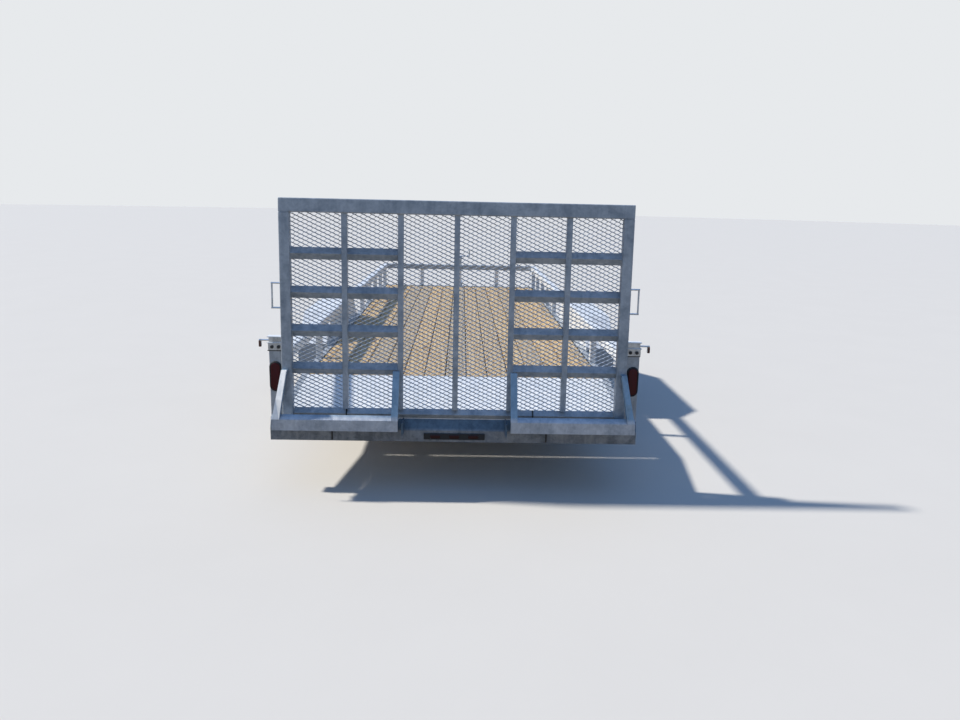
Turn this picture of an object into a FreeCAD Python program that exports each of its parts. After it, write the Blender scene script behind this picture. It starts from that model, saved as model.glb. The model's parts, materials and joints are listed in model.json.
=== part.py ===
import FreeCAD, Part
import Sketcher
import math
import os
import re

# Galvanized utility trailer with an 82 inch by 20 foot bed, two axles and a ramp gate at the rear.
# X is to the right, Y is forward, Z is up and the floor is at zero. Sizes are in millimetres.
# A distance along the bed is measured forward from the back face of the upright gate.

SIZES = {
    # bed and frame
    "bed_width": 2083, "bed_length": 6130, "deck_top": 541, "seat_gap": 0.3,
    "frame_depth": 127, "frame_flange": 45, "frame_wall": 6,
    "tail_length": 735, "tail_height": 448, "tail_start": 63, "tail_lap": 5, "tail_plate": 5,
    "bumper_half": 1080, "bumper_back": 32, "bumper_foot": 308, "bumper_slope": 24, "bumper_break": 378,
    "fin_inner": 295, "fin_thick": 10, "fin_back": 81, "fin_foot": 365, "fin_top": 453,
    "cross_depth": 89, "cross_flange": 36, "cross_wall": 5, "cross_first": 775, "cross_last": 90,
    "plank_thick": 38, "plank_width": 135, "plank_gap": 8, "plank_edge": 985,
    # side rails
    "rail_top": 830, "rail_tube": 63.5, "stake_size": 44, "stake_inset": 1,
    "stake_rear": 1250, "stake_front": 630, "stake_pitch": 600,
    "post_inner": 1004, "post_width": 76, "post_depth": 51, "post_top": 880,
    # tongue, coupler and jack
    "tongue_reach": 1180, "tongue_root": 1150, "tongue_spread": 640, "tongue_tip": 60,
    "coupler_nose": 90, "coupler_length": 270, "coupler_width": 84, "coupler_height": 70,
    "ball_radius": 25.4, "ball_fit": 0.5, "ball_depth": 45,
    "lever_long": 118, "lever_wide": 26, "lever_thick": 6, "lever_block": 34, "lever_rise": 20, "lever_back": 96,
    "jack_back": 430, "jack_radius": 28.5, "jack_length": 560, "jack_foot": 317, "jack_leg": 22,
    "jack_head": 34, "jack_head_tall": 42,
    "jack_plate_half": 140, "jack_plate_deep": 150, "jack_plate_thick": 8,
    "pad_radius": 70, "pad_thick": 8, "crank_reach": 150, "crank_radius": 7, "crank_grip": 90,
    # running gear
    "axle_middle": 2579, "axle_spread": 850, "wheel_x": 1156, "tyre_radius": 343, "tyre_width": 205,
    "shoulder_drop": 18, "shoulder_run": 12,
    "rim_radius": 190.5, "rim_width": 176, "rim_wall": 6, "disc_back": 5, "disc_thick": 5,
    "disc_face": 30, "disc_cone": 150, "disc_hole": 40, "vent_ring": 112, "vent_radius": 15,
    "hub_radius": 62, "hub_barrel": 46, "hub_length": 80, "hub_flange": 8,
    "cap_radius": 34, "cap_length": 46, "cap_edge": 6, "cap_room": 8,
    "spindle_radius": 19, "spindle_fit": 0.05, "spindle_end": 26, "axle_end": 110, "axle_radius": 30,
    "spring_width": 45, "spring_leaf": 8, "spring_eye": 12, "spring_ramp": 130, "leaf_step": 70,
    "hanger_wide": 44, "hanger_drop": 30,
    # fenders
    "fender_top": 780, "fender_half": 1270, "fender_flat": 1188, "fender_run": 280, "fender_end": 560,
    "fender_wall": 3, "fender_skirt": 60,
    # lamps
    "lamp_x": 1044, "lamp_height": 685, "lamp_long": 180, "lamp_wide": 72, "lamp_proud": 12,
    "id_bar_long": 360, "id_bar_tall": 38, "id_bar_deep": 8,
    # latches on the posts
    "latch_inset": 5, "latch_deep": 40, "latch_tall": 36, "pull_radius": 5, "pull_reach": 60,
    "pull_height": 14, "pull_hook": 34,
    # gate, measured from its hinge pins
    "hinge_y": -25, "hinge_z": 425, "pin_radius": 10, "pin_fit": 0.05, "gate_lean": 2.5,
    "gate_half": 999, "gate_back": 25, "gate_thick": 50, "gate_foot": 25, "gate_top": 1283,
    "gate_side": 60, "gate_top_bar": 78, "upright": 31, "upright_deep": 38, "bay_pitch": 318,
    "rung_leg": 50, "rung_wall": 5, "rung_high": 978, "rung_pitch": 220, "foot_leg": 41,
    "mesh_thick": 6, "mesh_inset": 10, "mesh_bar": 26,
    "ledge_back": 60, "ledge_top": 39, "ledge_leg": 64, "ledge_wall": 6, "ledge_lip": 24,
    "ledge_outer": 1044, "ledge_inner": 325,
    "brace_top": 315, "brace_width": 42, "brace_end": 34, "brace_inset": 3, "brace_slant": 46,
    "brace_inner": 320, "brace_narrow": 38, "brace_deep": 22,
    "handle_low": 667, "handle_tall": 141, "handle_reach": 54, "handle_radius": 5,
    "hinge_outer": 960, "hinge_inner": 420,
    "ear_thick": 10, "ear_radius": 20, "ear_drop": 33, "lug_thick": 8, "lug_gap": 5, "lug_radius": 18,
}

SIDES = (("left", -1), ("right", 1))

# name of the axle, where it is in half spreads from the middle
AXLES = (("front", 0.5), ("rear", -0.5))

# where the stakes stand along the bed: one behind the fender and a row that ends at the front
STAKE_SPOTS = ["stake_rear"] + [f"bed_length - stake_front - {index} * stake_pitch" for index in range(4)]

VENT_COUNT = 8
CROSS_COUNT = 10
PLANK_COUNT = 13
MESH_COLUMNS = 12
MESH_ROWS = 10

# the gate's hinges across the bumper: side, distance from the middle
HINGES = ((-1, "hinge_outer"), (-1, "hinge_inner"), (1, "hinge_inner"), (1, "hinge_outer"))

# Distances that several pieces share, as formulas of the sizes.
REACH = "(bed_length + tongue_reach + coupler_nose)"
SHIFT = f"((ledge_back - hinge_y) - {REACH}) / 2"
BED_HALF = "(bed_width / 2)"
FRAME_FOOT = "(deck_top - frame_depth)"
GATE_FRONT = "(gate_back + gate_thick)"
POST_FRONT = "(tail_start + post_depth)"

document = FreeCAD.newDocument("utility_trailer")
sheet = document.addObject("Spreadsheet::Sheet", "Sizes")
for row, (alias, value) in enumerate(SIZES.items(), start=1):
    sheet.set(f"A{row}", alias)
    sheet.set(f"B{row}", str(value))
    sheet.setAlias(f"B{row}", alias)
document.recompute()

WORDS = re.compile(r"\b(" + "|".join(SIZES) + r")\b")
PARTS = {}


def bind(thing, prop, formula):
    """Tie a property to a formula of the sheet's sizes."""
    thing.setExpression(prop, WORDS.sub(r"Sizes.\1", str(formula)))


def local(thing, at):
    """Put a piece at a point of its own part's frame."""
    for axis, formula in zip("xyz", at):
        bind(thing, f"Placement.Base.{axis}", formula)
    return thing


def place(thing, at):
    """Put a piece at a point of the trailer; the middle number is a distance along the bed."""
    x, y, z = at
    return local(thing, (x, f"{y} + {SHIFT}", z))


def box(name, size):
    thing = document.addObject("Part::Box", name)
    for prop, formula in zip(("Length", "Width", "Height"), size):
        bind(thing, prop, formula)
    return thing


TURNS = {"x": ((0, 1, 0), 90), "y": ((1, 0, 0), -90), "z": ((0, 0, 1), 0)}


def rod(name, radius, length, along="z"):
    """A round bar that starts at its point and runs along one axis."""
    thing = document.addObject("Part::Cylinder", name)
    bind(thing, "Radius", radius)
    bind(thing, "Height", length)
    axis, angle = TURNS[along]
    thing.Placement.Rotation = FreeCAD.Rotation(FreeCAD.Vector(*axis), angle)
    return thing


PLANES = {"side": "YZ_Plane", "plan": "XY_Plane"}
START_SIZE = 1000


def sketch_on(body, plane, points):
    """A closed outline of straight lines, each corner held at its two formulas."""
    sketch = body.newObject("Sketcher::SketchObject", body.Name + "_outline")
    origin = next(face for face in body.Origin.OriginFeatures if face.Role == PLANES[plane])
    sketch.AttachmentSupport = [(origin, "")]
    sketch.MapMode = "FlatFace"
    count = len(points)
    turn = 2 * math.pi / count
    start = [FreeCAD.Vector(START_SIZE * math.cos(turn * index), START_SIZE * math.sin(turn * index), 0)
             for index in range(count)]
    for index in range(count):
        sketch.addGeometry(Part.LineSegment(start[index], start[(index + 1) % count]))
    for index in range(count):
        sketch.addConstraint(Sketcher.Constraint("Coincident", index, 2, (index + 1) % count, 1))
    for index, (point, guess) in enumerate(zip(points, start)):
        for kind, formula, size in zip(("DistanceX", "DistanceY"), point, (guess.x, guess.y)):
            held = sketch.addConstraint(Sketcher.Constraint(kind, -1, 1, index, 1, size))
            bind(sketch, f"Constraints[{held}]", formula)
    return sketch


def prism(name, plane, points, length):
    """An outline padded square to its plane, to +X from the side and to +Z from the plan."""
    body = document.addObject("PartDesign::Body", name)
    pad = body.newObject("PartDesign::Pad", name + "_pad")
    pad.Profile = sketch_on(body, plane, points)
    bind(pad, "Length", length)
    return body


def ring(name, points):
    """A profile of (distance along X, radius) corners turned about the X axis."""
    body = document.addObject("PartDesign::Body", name)
    turn = body.newObject("PartDesign::Revolution", name + "_turn")
    turn.Profile = sketch_on(body, "plan", points)
    turn.ReferenceAxis = (turn.Profile[0], ["H_Axis"])
    turn.Angle = 360
    return body


def fuse(name, pieces):
    thing = document.addObject("Part::MultiFuse", name)
    thing.Shapes = pieces
    return thing


def cut(name, base, tool):
    thing = document.addObject("Part::Cut", name)
    thing.Base, thing.Tool = base, tool
    return thing


def several(name, pieces):
    """Like pieces that don't touch, kept as one sub-part."""
    thing = document.addObject("Part::Compound", name)
    thing.Links = pieces
    return thing


def keep(label, thing):
    thing.Label = label
    PARTS[label] = thing


def low_x(sign, inner, width):
    """The lower X of a piece that starts at a distance from the middle, on one side."""
    return inner if sign > 0 else f"-({inner} + {width})"


def band(line, depth):
    """A strip of one depth that hangs under a line of corners."""
    return [(y, f"{z} - {depth}") for y, z in line] + line[::-1]


def frame_rails():
    """Channel rails with a bend where the beaver tail starts to fall."""
    fall = "(deck_top - tail_height + tail_plate) / (tail_length - tail_start)"
    rear_top = f"(tail_height - tail_plate + (post_depth + seat_gap) * {fall})"
    top = [(f"{POST_FRONT} + seat_gap", rear_top), ("tail_length", "deck_top"),
           ("bed_length - frame_flange - seat_gap", "deck_top")]
    foot = [(y, f"{z} - frame_depth + frame_wall") for y, z in top]
    for side, sign in SIDES:
        name = f"frame_rail_{side}"
        web_x = low_x(sign, f"({BED_HALF} - frame_wall)", "frame_wall")
        flange_x = low_x(sign, f"({BED_HALF} - frame_flange)", "frame_flange")
        web = prism(name + "_web", "side", band(top, "frame_depth"), "frame_wall")
        cap = prism(name + "_cap", "side", band(top, "frame_wall"), "frame_flange")
        sole = prism(name + "_sole", "side", band(foot, "frame_wall"), "frame_flange")
        pieces = [place(web, (web_x, 0, 0)), place(cap, (flange_x, 0, 0)), place(sole, (flange_x, 0, 0))]
        keep(name, fuse(name + "_solid", pieces))


def cross_frame():
    """The front channel, the cross channels that carry the planks, and the bumper."""
    inner = f"({BED_HALF} - frame_wall - seat_gap)"
    web = box("front_web", ("bed_width", "frame_wall", "frame_depth"))
    place(web, (f"-{BED_HALF}", "bed_length - frame_wall", FRAME_FOOT))
    flanges = [place(box(name, ("bed_width", "frame_flange", "frame_wall")),
                     (f"-{BED_HALF}", "bed_length - frame_flange", z))
               for name, z in (("front_cap", "deck_top - frame_wall"), ("front_sole", FRAME_FOOT))]
    keep("front_channel", fuse("front_channel_solid", [web] + flanges))
    # the soles stop at the rails' lower flanges, and the coped webs reach past them to the rails' webs
    short = f"({BED_HALF} - frame_flange - seat_gap)"
    base = "(deck_top - plank_thick - cross_depth)"
    coped = "(frame_wall + seat_gap)"
    channels = []
    for index in range(CROSS_COUNT):
        y = f"cross_first + {index} * (bed_length - cross_last - cross_first) / {CROSS_COUNT - 1}"
        pieces = []
        # name, half width, depth along the bed, lowest Z, height
        for part, half, deep, z, tall in (
                ("web", inner, "cross_wall", f"{base} + {coped}", f"cross_depth - {coped}"),
                ("cap", inner, "cross_flange", f"{base} + cross_depth - cross_wall", "cross_wall"),
                ("root", short, "cross_wall", base, "cross_depth / 2"),
                ("sole", short, "cross_flange", base, "cross_wall")):
            pieces.append(place(box(f"cross_{index}_{part}", (f"2 * {half}", deep, tall)), (f"-{half}", y, z)))
        channels.append(fuse(f"cross_{index}", pieces))
    keep("cross_channels", several("cross_channel_set", channels))
    top = "tail_height - tail_plate - seat_gap"
    front, back = "tail_start - seat_gap", "tail_start - bumper_back"
    outline = [(front, "bumper_foot"), (front, top), (f"{back} + bumper_slope", top),
               (back, "bumper_break"), (back, "bumper_foot")]
    bar = prism("bumper_bar", "side", outline, "2 * bumper_half")
    ears = [hinge_ear(index, f"{sign} * {x}") for index, (sign, x) in enumerate(HINGES)]
    fins = [place(box(f"bumper_fin_{side}", ("fin_thick", "fin_back + tail_start - bumper_back + 1",
                                             "fin_top - fin_foot")),
                  (low_x(sign, "fin_inner", "fin_thick"), "-fin_back", "fin_foot"))
            for side, sign in SIDES]
    keep("bumper", fuse("bumper_solid", [place(bar, ("-bumper_half", 0, 0))] + ears + fins))


def hinge_ear(index, x):
    """A plate that reaches back from the bumper to one of the gate's hinge pins."""
    start = f"({x} - ear_thick / 2)"
    name = f"ear_{index}"
    reach = "tail_start - tail_lap - hinge_y"
    arm = place(box(name + "_arm", ("ear_thick", reach, "ear_drop")), (start, "hinge_y", "hinge_z - ear_drop"))
    eye = place(rod(name + "_eye", "ear_radius", "ear_thick", "x"), (start, "hinge_y", "hinge_z"))
    bore = place(rod(name + "_bore", "pin_radius + pin_fit", "ear_thick + 2", "x"),
                 (f"{start} - 1", "hinge_y", "hinge_z"))
    return cut(name, fuse(name + "_plate", [arm, eye]), bore)


def deck():
    """Boards laid along the bed, and the steel plate of the beaver tail."""
    boards = []
    long = "bed_length - frame_flange - tail_length - 2 * plank_gap"
    for index in range(PLANK_COUNT):
        board = box(f"plank_{index}", ("plank_width", long, "plank_thick"))
        x = f"({index} - {PLANK_COUNT / 2}) * (plank_width + plank_gap) + plank_gap / 2"
        boards.append(place(board, (x, "tail_length + plank_gap", "deck_top - plank_thick")))
    edge = f"({PLANK_COUNT / 2} * (plank_width + plank_gap) + plank_gap / 2)"
    for side, sign in SIDES:
        board = box(f"plank_{side}", (f"plank_edge - {edge}", long, "plank_thick"))
        x = low_x(sign, edge, f"(plank_edge - {edge})")
        boards.append(place(board, (x, "tail_length + plank_gap", "deck_top - plank_thick")))
    keep("deck_planks", several("plank_set", boards))
    line = [("tail_start - tail_lap", "tail_height"), ("tail_length", "deck_top")]
    inner = f"({BED_HALF} - frame_flange - seat_gap)"
    sheet_plate = prism("tail_sheet", "side", band(line, "tail_plate"), f"2 * {inner}")
    keep("tail_deck", place(sheet_plate, (f"-{inner}", 0, 0)))


def rails():
    """Square tube along the top of each side and across the front, on short stakes."""
    low = "rail_top - rail_tube"
    start = f"{POST_FRONT} + seat_gap"
    sides = []
    for side, sign in SIDES:
        bar = box(f"side_rail_{side}", ("rail_tube", f"bed_length - rail_tube - seat_gap - ({start})", "rail_tube"))
        sides.append(place(bar, (low_x(sign, f"({BED_HALF} - rail_tube)", "rail_tube"), start, low)))
    keep("side_rails", several("side_rail_set", sides))
    bar = box("front_rail_bar", ("bed_width", "rail_tube", "rail_tube"))
    keep("front_rail", place(bar, (f"-{BED_HALF}", "bed_length - rail_tube", low)))
    height = f"{low} - deck_top - 2 * seat_gap"
    inset = f"({BED_HALF} - stake_inset - stake_size)"
    stakes = []
    for side, sign in SIDES:
        for index, y in enumerate(STAKE_SPOTS):
            stake = box(f"stake_{side}_{index}", ("stake_size", "stake_size", height))
            stakes.append(place(stake, (low_x(sign, inset, "stake_size"), y, "deck_top + seat_gap")))
    for index, part in enumerate((-1, -0.5, 0, 0.5, 1)):
        stake = box(f"front_stake_{index}", ("stake_size", "stake_size", height))
        x = f"{part} * {inset} - {(1 - part) / 2} * stake_size"
        stakes.append(place(stake, (x, "bed_length - stake_size - stake_inset", "deck_top + seat_gap")))
    keep("rail_stakes", several("stake_set", stakes))


def rear_posts():
    posts = []
    for side, sign in SIDES:
        post = box(f"rear_post_{side}", ("post_width", "post_depth", "post_top - bumper_foot"))
        posts.append(place(post, (low_x(sign, "post_inner", "post_width"), "tail_start", "bumper_foot")))
    keep("rear_posts", several("rear_post_set", posts))


def tongue():
    """Two channels under the bed that meet at the coupler."""
    foot = f"{FRAME_FOOT} - seat_gap - frame_depth"
    root_y, tip_y = "bed_length - tongue_root", "bed_length + tongue_reach"
    bars = []
    for side, sign in SIDES:
        ends = [("tongue_spread", root_y), ("tongue_tip", tip_y)]

        def strip(width):
            outer = [(f"{sign} * {x}", y) for x, y in ends]
            inner = [(f"{sign} * ({x} - {width})", y) for x, y in ends]
            return outer + inner[::-1]

        name = f"tongue_{side}"
        web = prism(name + "_web", "plan", strip("frame_wall"), "frame_depth")
        cap = prism(name + "_cap", "plan", strip("frame_flange"), "frame_wall")
        sole = prism(name + "_sole", "plan", strip("frame_flange"), "frame_wall")
        place(web, (0, 0, foot))
        place(cap, (0, 0, f"{foot} + frame_depth - frame_wall"))
        place(sole, (0, 0, foot))
        bars.append(fuse(name, [web, cap, sole]))
    keep("tongue_channels", several("tongue_set", bars))
    nose_y = f"{REACH} - coupler_width / 2"
    body = place(box("coupler_block", ("coupler_width", "coupler_length - coupler_width / 2", "coupler_height")),
                 ("-coupler_width / 2", f"{REACH} - coupler_length", FRAME_FOOT))
    nose = place(rod("coupler_round", "coupler_width / 2", "coupler_height"), (0, nose_y, FRAME_FOOT))
    socket = place(rod("coupler_socket", "ball_radius + ball_fit", "ball_depth + 1"),
                   (0, nose_y, f"{FRAME_FOOT} - 1"))
    top = f"({FRAME_FOOT} + coupler_height)"
    pivot = place(box("lever_pivot", ("lever_wide", "lever_block", "lever_rise + 1")),
                  ("-lever_wide / 2", f"{REACH} - lever_back", f"{top} - 1"))
    lever = place(box("lever_bar", ("lever_wide", "lever_long", "lever_thick")),
                  ("-lever_wide / 2", f"{REACH} - lever_back + lever_block - lever_long",
                   f"{top} + lever_rise - lever_thick"))
    keep("coupler", cut("coupler_body", fuse("coupler_shell", [body, nose, pivot, lever]), socket))


def jack():
    """A crank jack whose foot stands on the floor."""
    y = f"({REACH} - jack_back)"
    plate = place(box("jack_plate_sheet", ("2 * jack_plate_half", "jack_plate_deep", "jack_plate_thick")),
                  ("-jack_plate_half", f"{y} - jack_plate_deep / 2", FRAME_FOOT))
    hole = place(rod("jack_plate_hole", "jack_radius + seat_gap", "jack_plate_thick + 2"),
                 (0, y, f"{FRAME_FOOT} - 1"))
    keep("jack_plate", cut("jack_plate_solid", plate, hole))
    sleeve = place(rod("jack_sleeve", "jack_radius", "jack_length"), (0, y, "jack_foot"))
    head = place(rod("jack_cap", "jack_head", "jack_head_tall"), (0, y, "jack_foot + jack_length - jack_head_tall"))
    keep("jack_tube", fuse("jack_tube_solid", [sleeve, head]))
    leg = place(rod("jack_leg_bar", "jack_leg", "jack_foot - pad_thick - seat_gap"), (0, y, "pad_thick"))
    pad = place(rod("jack_pad", "pad_radius", "pad_thick"), (0, y, 0))
    keep("jack_leg", fuse("jack_leg_solid", [leg, pad]))
    top = "jack_foot + jack_length + seat_gap"
    arm = place(rod("crank_arm", "crank_radius", "crank_reach", "x"), (0, y, f"{top} + crank_radius"))
    grip = place(rod("crank_grip_bar", "crank_radius", "crank_grip"), ("crank_reach - crank_radius", y, top))
    keep("jack_crank", fuse("crank_solid", [arm, grip]))


def fenders():
    """Flat-topped fenders with a slope at each end, an outer lip and an inner wall."""
    start = "(axle_middle - fender_flat / 2)"
    end = "(axle_middle + fender_flat / 2)"
    crown = [(f"{start} - fender_run", "fender_end"), (start, "fender_top"), (end, "fender_top"),
             (f"{end} + fender_run", "fender_end")]
    wall = crown + [(f"{end} + fender_run", "deck_top"), (f"{start} - fender_run", "deck_top")]
    inner = f"({BED_HALF} + seat_gap)"
    for side, sign in SIDES:
        name = f"fender_{side}"
        top = prism(name + "_top", "side", band(crown, "fender_wall"), f"fender_half - {inner}")
        lip = prism(name + "_lip", "side", band(crown, "fender_skirt"), "fender_wall")
        side_wall = prism(name + "_wall", "side", wall, "fender_wall")
        place(top, (low_x(sign, inner, f"(fender_half - {inner})"), 0, 0))
        place(lip, (low_x(sign, "(fender_half - fender_wall)", "fender_wall"), 0, 0))
        place(side_wall, (low_x(sign, inner, "fender_wall"), 0, 0))
        keep(name, fuse(name + "_solid", [top, lip, side_wall]))


def axles():
    """Round axle tubes with turned spindles."""
    for end, part in AXLES:
        y = f"axle_middle + {part} * axle_spread"
        inner, outer = "(wheel_x - axle_end)", "(wheel_x + spindle_end)"
        beam = rod(f"axle_{end}_tube", "axle_radius", f"2 * {inner}", "x")
        shaft = rod(f"axle_{end}_shaft", "spindle_radius", f"2 * {outer}", "x")
        place(beam, (f"-{inner}", y, "tyre_radius"))
        place(shaft, (f"-{outer}", y, "tyre_radius"))
        keep(f"axle_{end}", fuse(f"axle_{end}_solid", [beam, shaft]))


def springs():
    """Leaf springs that pass under each axle, and the hangers that carry them."""
    packs, hangers = [], []
    eye_z = "(tyre_radius + spring_eye)"
    saddle_z = "(tyre_radius - axle_radius - seat_gap)"
    half = "(axle_spread / 2 - hanger_wide / 2 - seat_gap)"
    for side, sign in SIDES:
        x = low_x(sign, f"({BED_HALF} - frame_flange / 2 - spring_width / 2)", "spring_width")
        for end, part in AXLES:
            middle = f"(axle_middle + {part} * axle_spread)"
            name = f"spring_{side}_{end}"
            top = [(f"{middle} - {half}", eye_z), (f"{middle} - {half} + spring_ramp", saddle_z),
                   (f"{middle} + {half} - spring_ramp", saddle_z), (f"{middle} + {half}", eye_z)]
            leaves = [place(prism(name + "_main", "side", band(top, "spring_leaf"), "spring_width"), (x, 0, 0))]
            for index in (1, 2):
                short = f"(axle_spread / 2 - spring_ramp - {index} * leaf_step + hanger_wide)"
                leaf = box(f"{name}_leaf_{index}", ("spring_width", f"2 * {short}", "spring_leaf + 1"))
                leaves.append(place(leaf, (x, f"{middle} - {short}", f"{saddle_z} - {index + 1} * spring_leaf")))
            for index, away in enumerate((-1, 1)):
                eye = rod(f"{name}_eye_{index}", "spring_eye", "spring_width", "x")
                leaves.append(place(eye, (x, f"{middle} + {away} * ({half} - spring_eye)", f"{eye_z} - spring_eye")))
            packs.append(fuse(name, leaves))
        for index, part in enumerate((-1, 0, 1)):
            low = f"({eye_z} - hanger_drop)"
            hanger = box(f"hanger_{side}_{index}", ("spring_width", "hanger_wide",
                                                    f"{FRAME_FOOT} - seat_gap - {low}"))
            hangers.append(place(hanger, (x, f"axle_middle + {part} * axle_spread - hanger_wide / 2", low)))
    keep("leaf_springs", several("spring_set", packs))
    keep("spring_hangers", several("hanger_set", hangers))


def vented(name, disc):
    """Round holes in a ring about the middle of a wheel's disc."""
    holes = []
    for index in range(VENT_COUNT):
        turn = 2 * math.pi * index / VENT_COUNT
        hole = rod(f"{name}_vent_{index}", "vent_radius", "rim_width", "x")
        holes.append(local(hole, ("-rim_width / 2", f"vent_ring * {math.cos(turn):.5f}",
                                  f"vent_ring * {math.sin(turn):.5f}")))
    return cut(name + "_vented", disc, several(name + "_vents", holes))


def wheels():
    """Four wheels: a tyre on a steel rim, bolted to a hub that turns on its spindle."""
    half_tyre = [("tyre_width / 2", "rim_radius"), ("tyre_width / 2", "tyre_radius - shoulder_drop"),
                 ("tyre_width / 2 - shoulder_run", "tyre_radius")]
    tyre = half_tyre + [(f"-({x})", radius) for x, radius in half_tyre[::-1]]
    barrel = "rim_radius - rim_wall"
    rim = [("-rim_width / 2", "rim_radius - seat_gap"), ("rim_width / 2", "rim_radius - seat_gap"),
           ("rim_width / 2", barrel), ("disc_back + disc_thick", barrel), ("disc_face + disc_thick", "disc_cone"),
           ("disc_face + disc_thick", "disc_hole"), ("disc_face", "disc_hole"), ("disc_face", "disc_cone"),
           ("disc_back", barrel), ("-rim_width / 2", barrel)]
    bore = "spindle_radius + spindle_fit"
    face = "disc_face - seat_gap"
    cap_end = "disc_face + cap_length"
    hub = [("disc_face - hub_length", bore), ("disc_face - hub_length", "hub_barrel"),
           (f"{face} - hub_flange", "hub_barrel"), (f"{face} - hub_flange", "hub_radius"), (face, "hub_radius"),
           (face, "cap_radius"), (f"{cap_end} - cap_edge", "cap_radius"), (cap_end, "cap_radius - cap_edge"),
           (cap_end, "0"), ("spindle_end + cap_room", "0"), ("spindle_end + cap_room", bore)]
    for end, part in AXLES:
        for side, sign in SIDES:
            for label, outline in (("tyre", tyre), ("rim", rim), ("hub", hub)):
                name = f"{label}_{end}_{side}"
                piece = ring(name + "_ring", [(f"{sign} * ({x})", radius) for x, radius in outline])
                if label == "rim":
                    piece = vented(name, piece)
                spot = (f"{sign} * wheel_x", f"axle_middle + {part} * axle_spread", "tyre_radius")
                keep(name, place(piece, spot))


def lamps():
    """Oval tail lamps on the posts and a three-light bar on the bumper."""
    tail = []
    y = "tail_start - lamp_proud - seat_gap"
    low = "lamp_height - lamp_long / 2 + lamp_wide / 2"
    for side, sign in SIDES:
        middle = place(box(f"lamp_{side}_mid", ("lamp_wide", "lamp_proud", "lamp_long - lamp_wide")),
                       (f"{sign} * lamp_x - lamp_wide / 2", y, low))
        ends = [place(rod(f"lamp_{side}_{index}", "lamp_wide / 2", "lamp_proud", "y"),
                      (f"{sign} * lamp_x", y, f"{low} + {index} * (lamp_long - lamp_wide)"))
                for index in (0, 1)]
        tail.append(fuse(f"lamp_{side}", [middle] + ends))
    keep("tail_lamps", several("tail_lamp_set", tail))
    bar = box("marker_bar_block", ("id_bar_long", "id_bar_deep", "id_bar_tall"))
    keep("marker_bar", place(bar, ("-id_bar_long / 2", "tail_start - bumper_back - id_bar_deep - seat_gap",
                                   "(bumper_foot + bumper_break) / 2 - id_bar_tall / 2")))


def latches():
    """Spring latches on the post tops, each with a bent pull rod outside."""
    y = "tail_start + latch_inset"
    base = "post_top + seat_gap"
    outer = "(post_inner + post_width)"
    latch_set = []
    for side, sign in SIDES:
        case = place(box(f"latch_{side}_case", ("post_width", "latch_deep", "latch_tall")),
                     (low_x(sign, "post_inner", "post_width"), y, base))
        pull = place(rod(f"latch_{side}_pull", "pull_radius", "pull_reach + pull_radius", "x"),
                     (low_x(sign, f"({outer} - pull_radius)", "(pull_reach + pull_radius)"),
                      f"{y} + latch_deep / 2", f"{base} + pull_height"))
        hook = place(rod(f"latch_{side}_hook", "pull_radius", "pull_hook + pull_radius"),
                     (f"{sign} * ({outer} + pull_reach - 2 * pull_radius)", f"{y} + latch_deep / 2",
                      f"{base} + pull_height - pull_hook"))
        latch_set.append(fuse(f"latch_{side}", [case, pull, hook]))
    keep("post_latches", several("post_latch_set", latch_set))


def on_gate(label, thing):
    """A gate piece, built about the hinge pins, leaned forward and set at the pins."""
    thing.Placement.Rotation = FreeCAD.Rotation(FreeCAD.Vector(-1, 0, 0), 1)
    bind(thing, "Placement.Rotation.Angle", "gate_lean")
    keep(label, place(thing, (0, "hinge_y", "hinge_z")))


def vee(name, middle, leg, start, end):
    """Angle iron on edge, its heel towards the back, between two distances across the gate."""
    deep = f"({leg} * 0.70711)"
    wall = "(rung_wall * 1.41421)"
    outline = [(GATE_FRONT, f"{middle} - {deep}"), (f"{GATE_FRONT} - {deep}", middle),
               (GATE_FRONT, f"{middle} + {deep}"), (GATE_FRONT, f"{middle} + {deep} - {wall}"),
               (f"{GATE_FRONT} - {deep} + {wall}", middle), (GATE_FRONT, f"{middle} - {deep} + {wall}")]
    return local(prism(name, "side", outline, f"{end} - ({start})"), (start, 0, 0))


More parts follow.
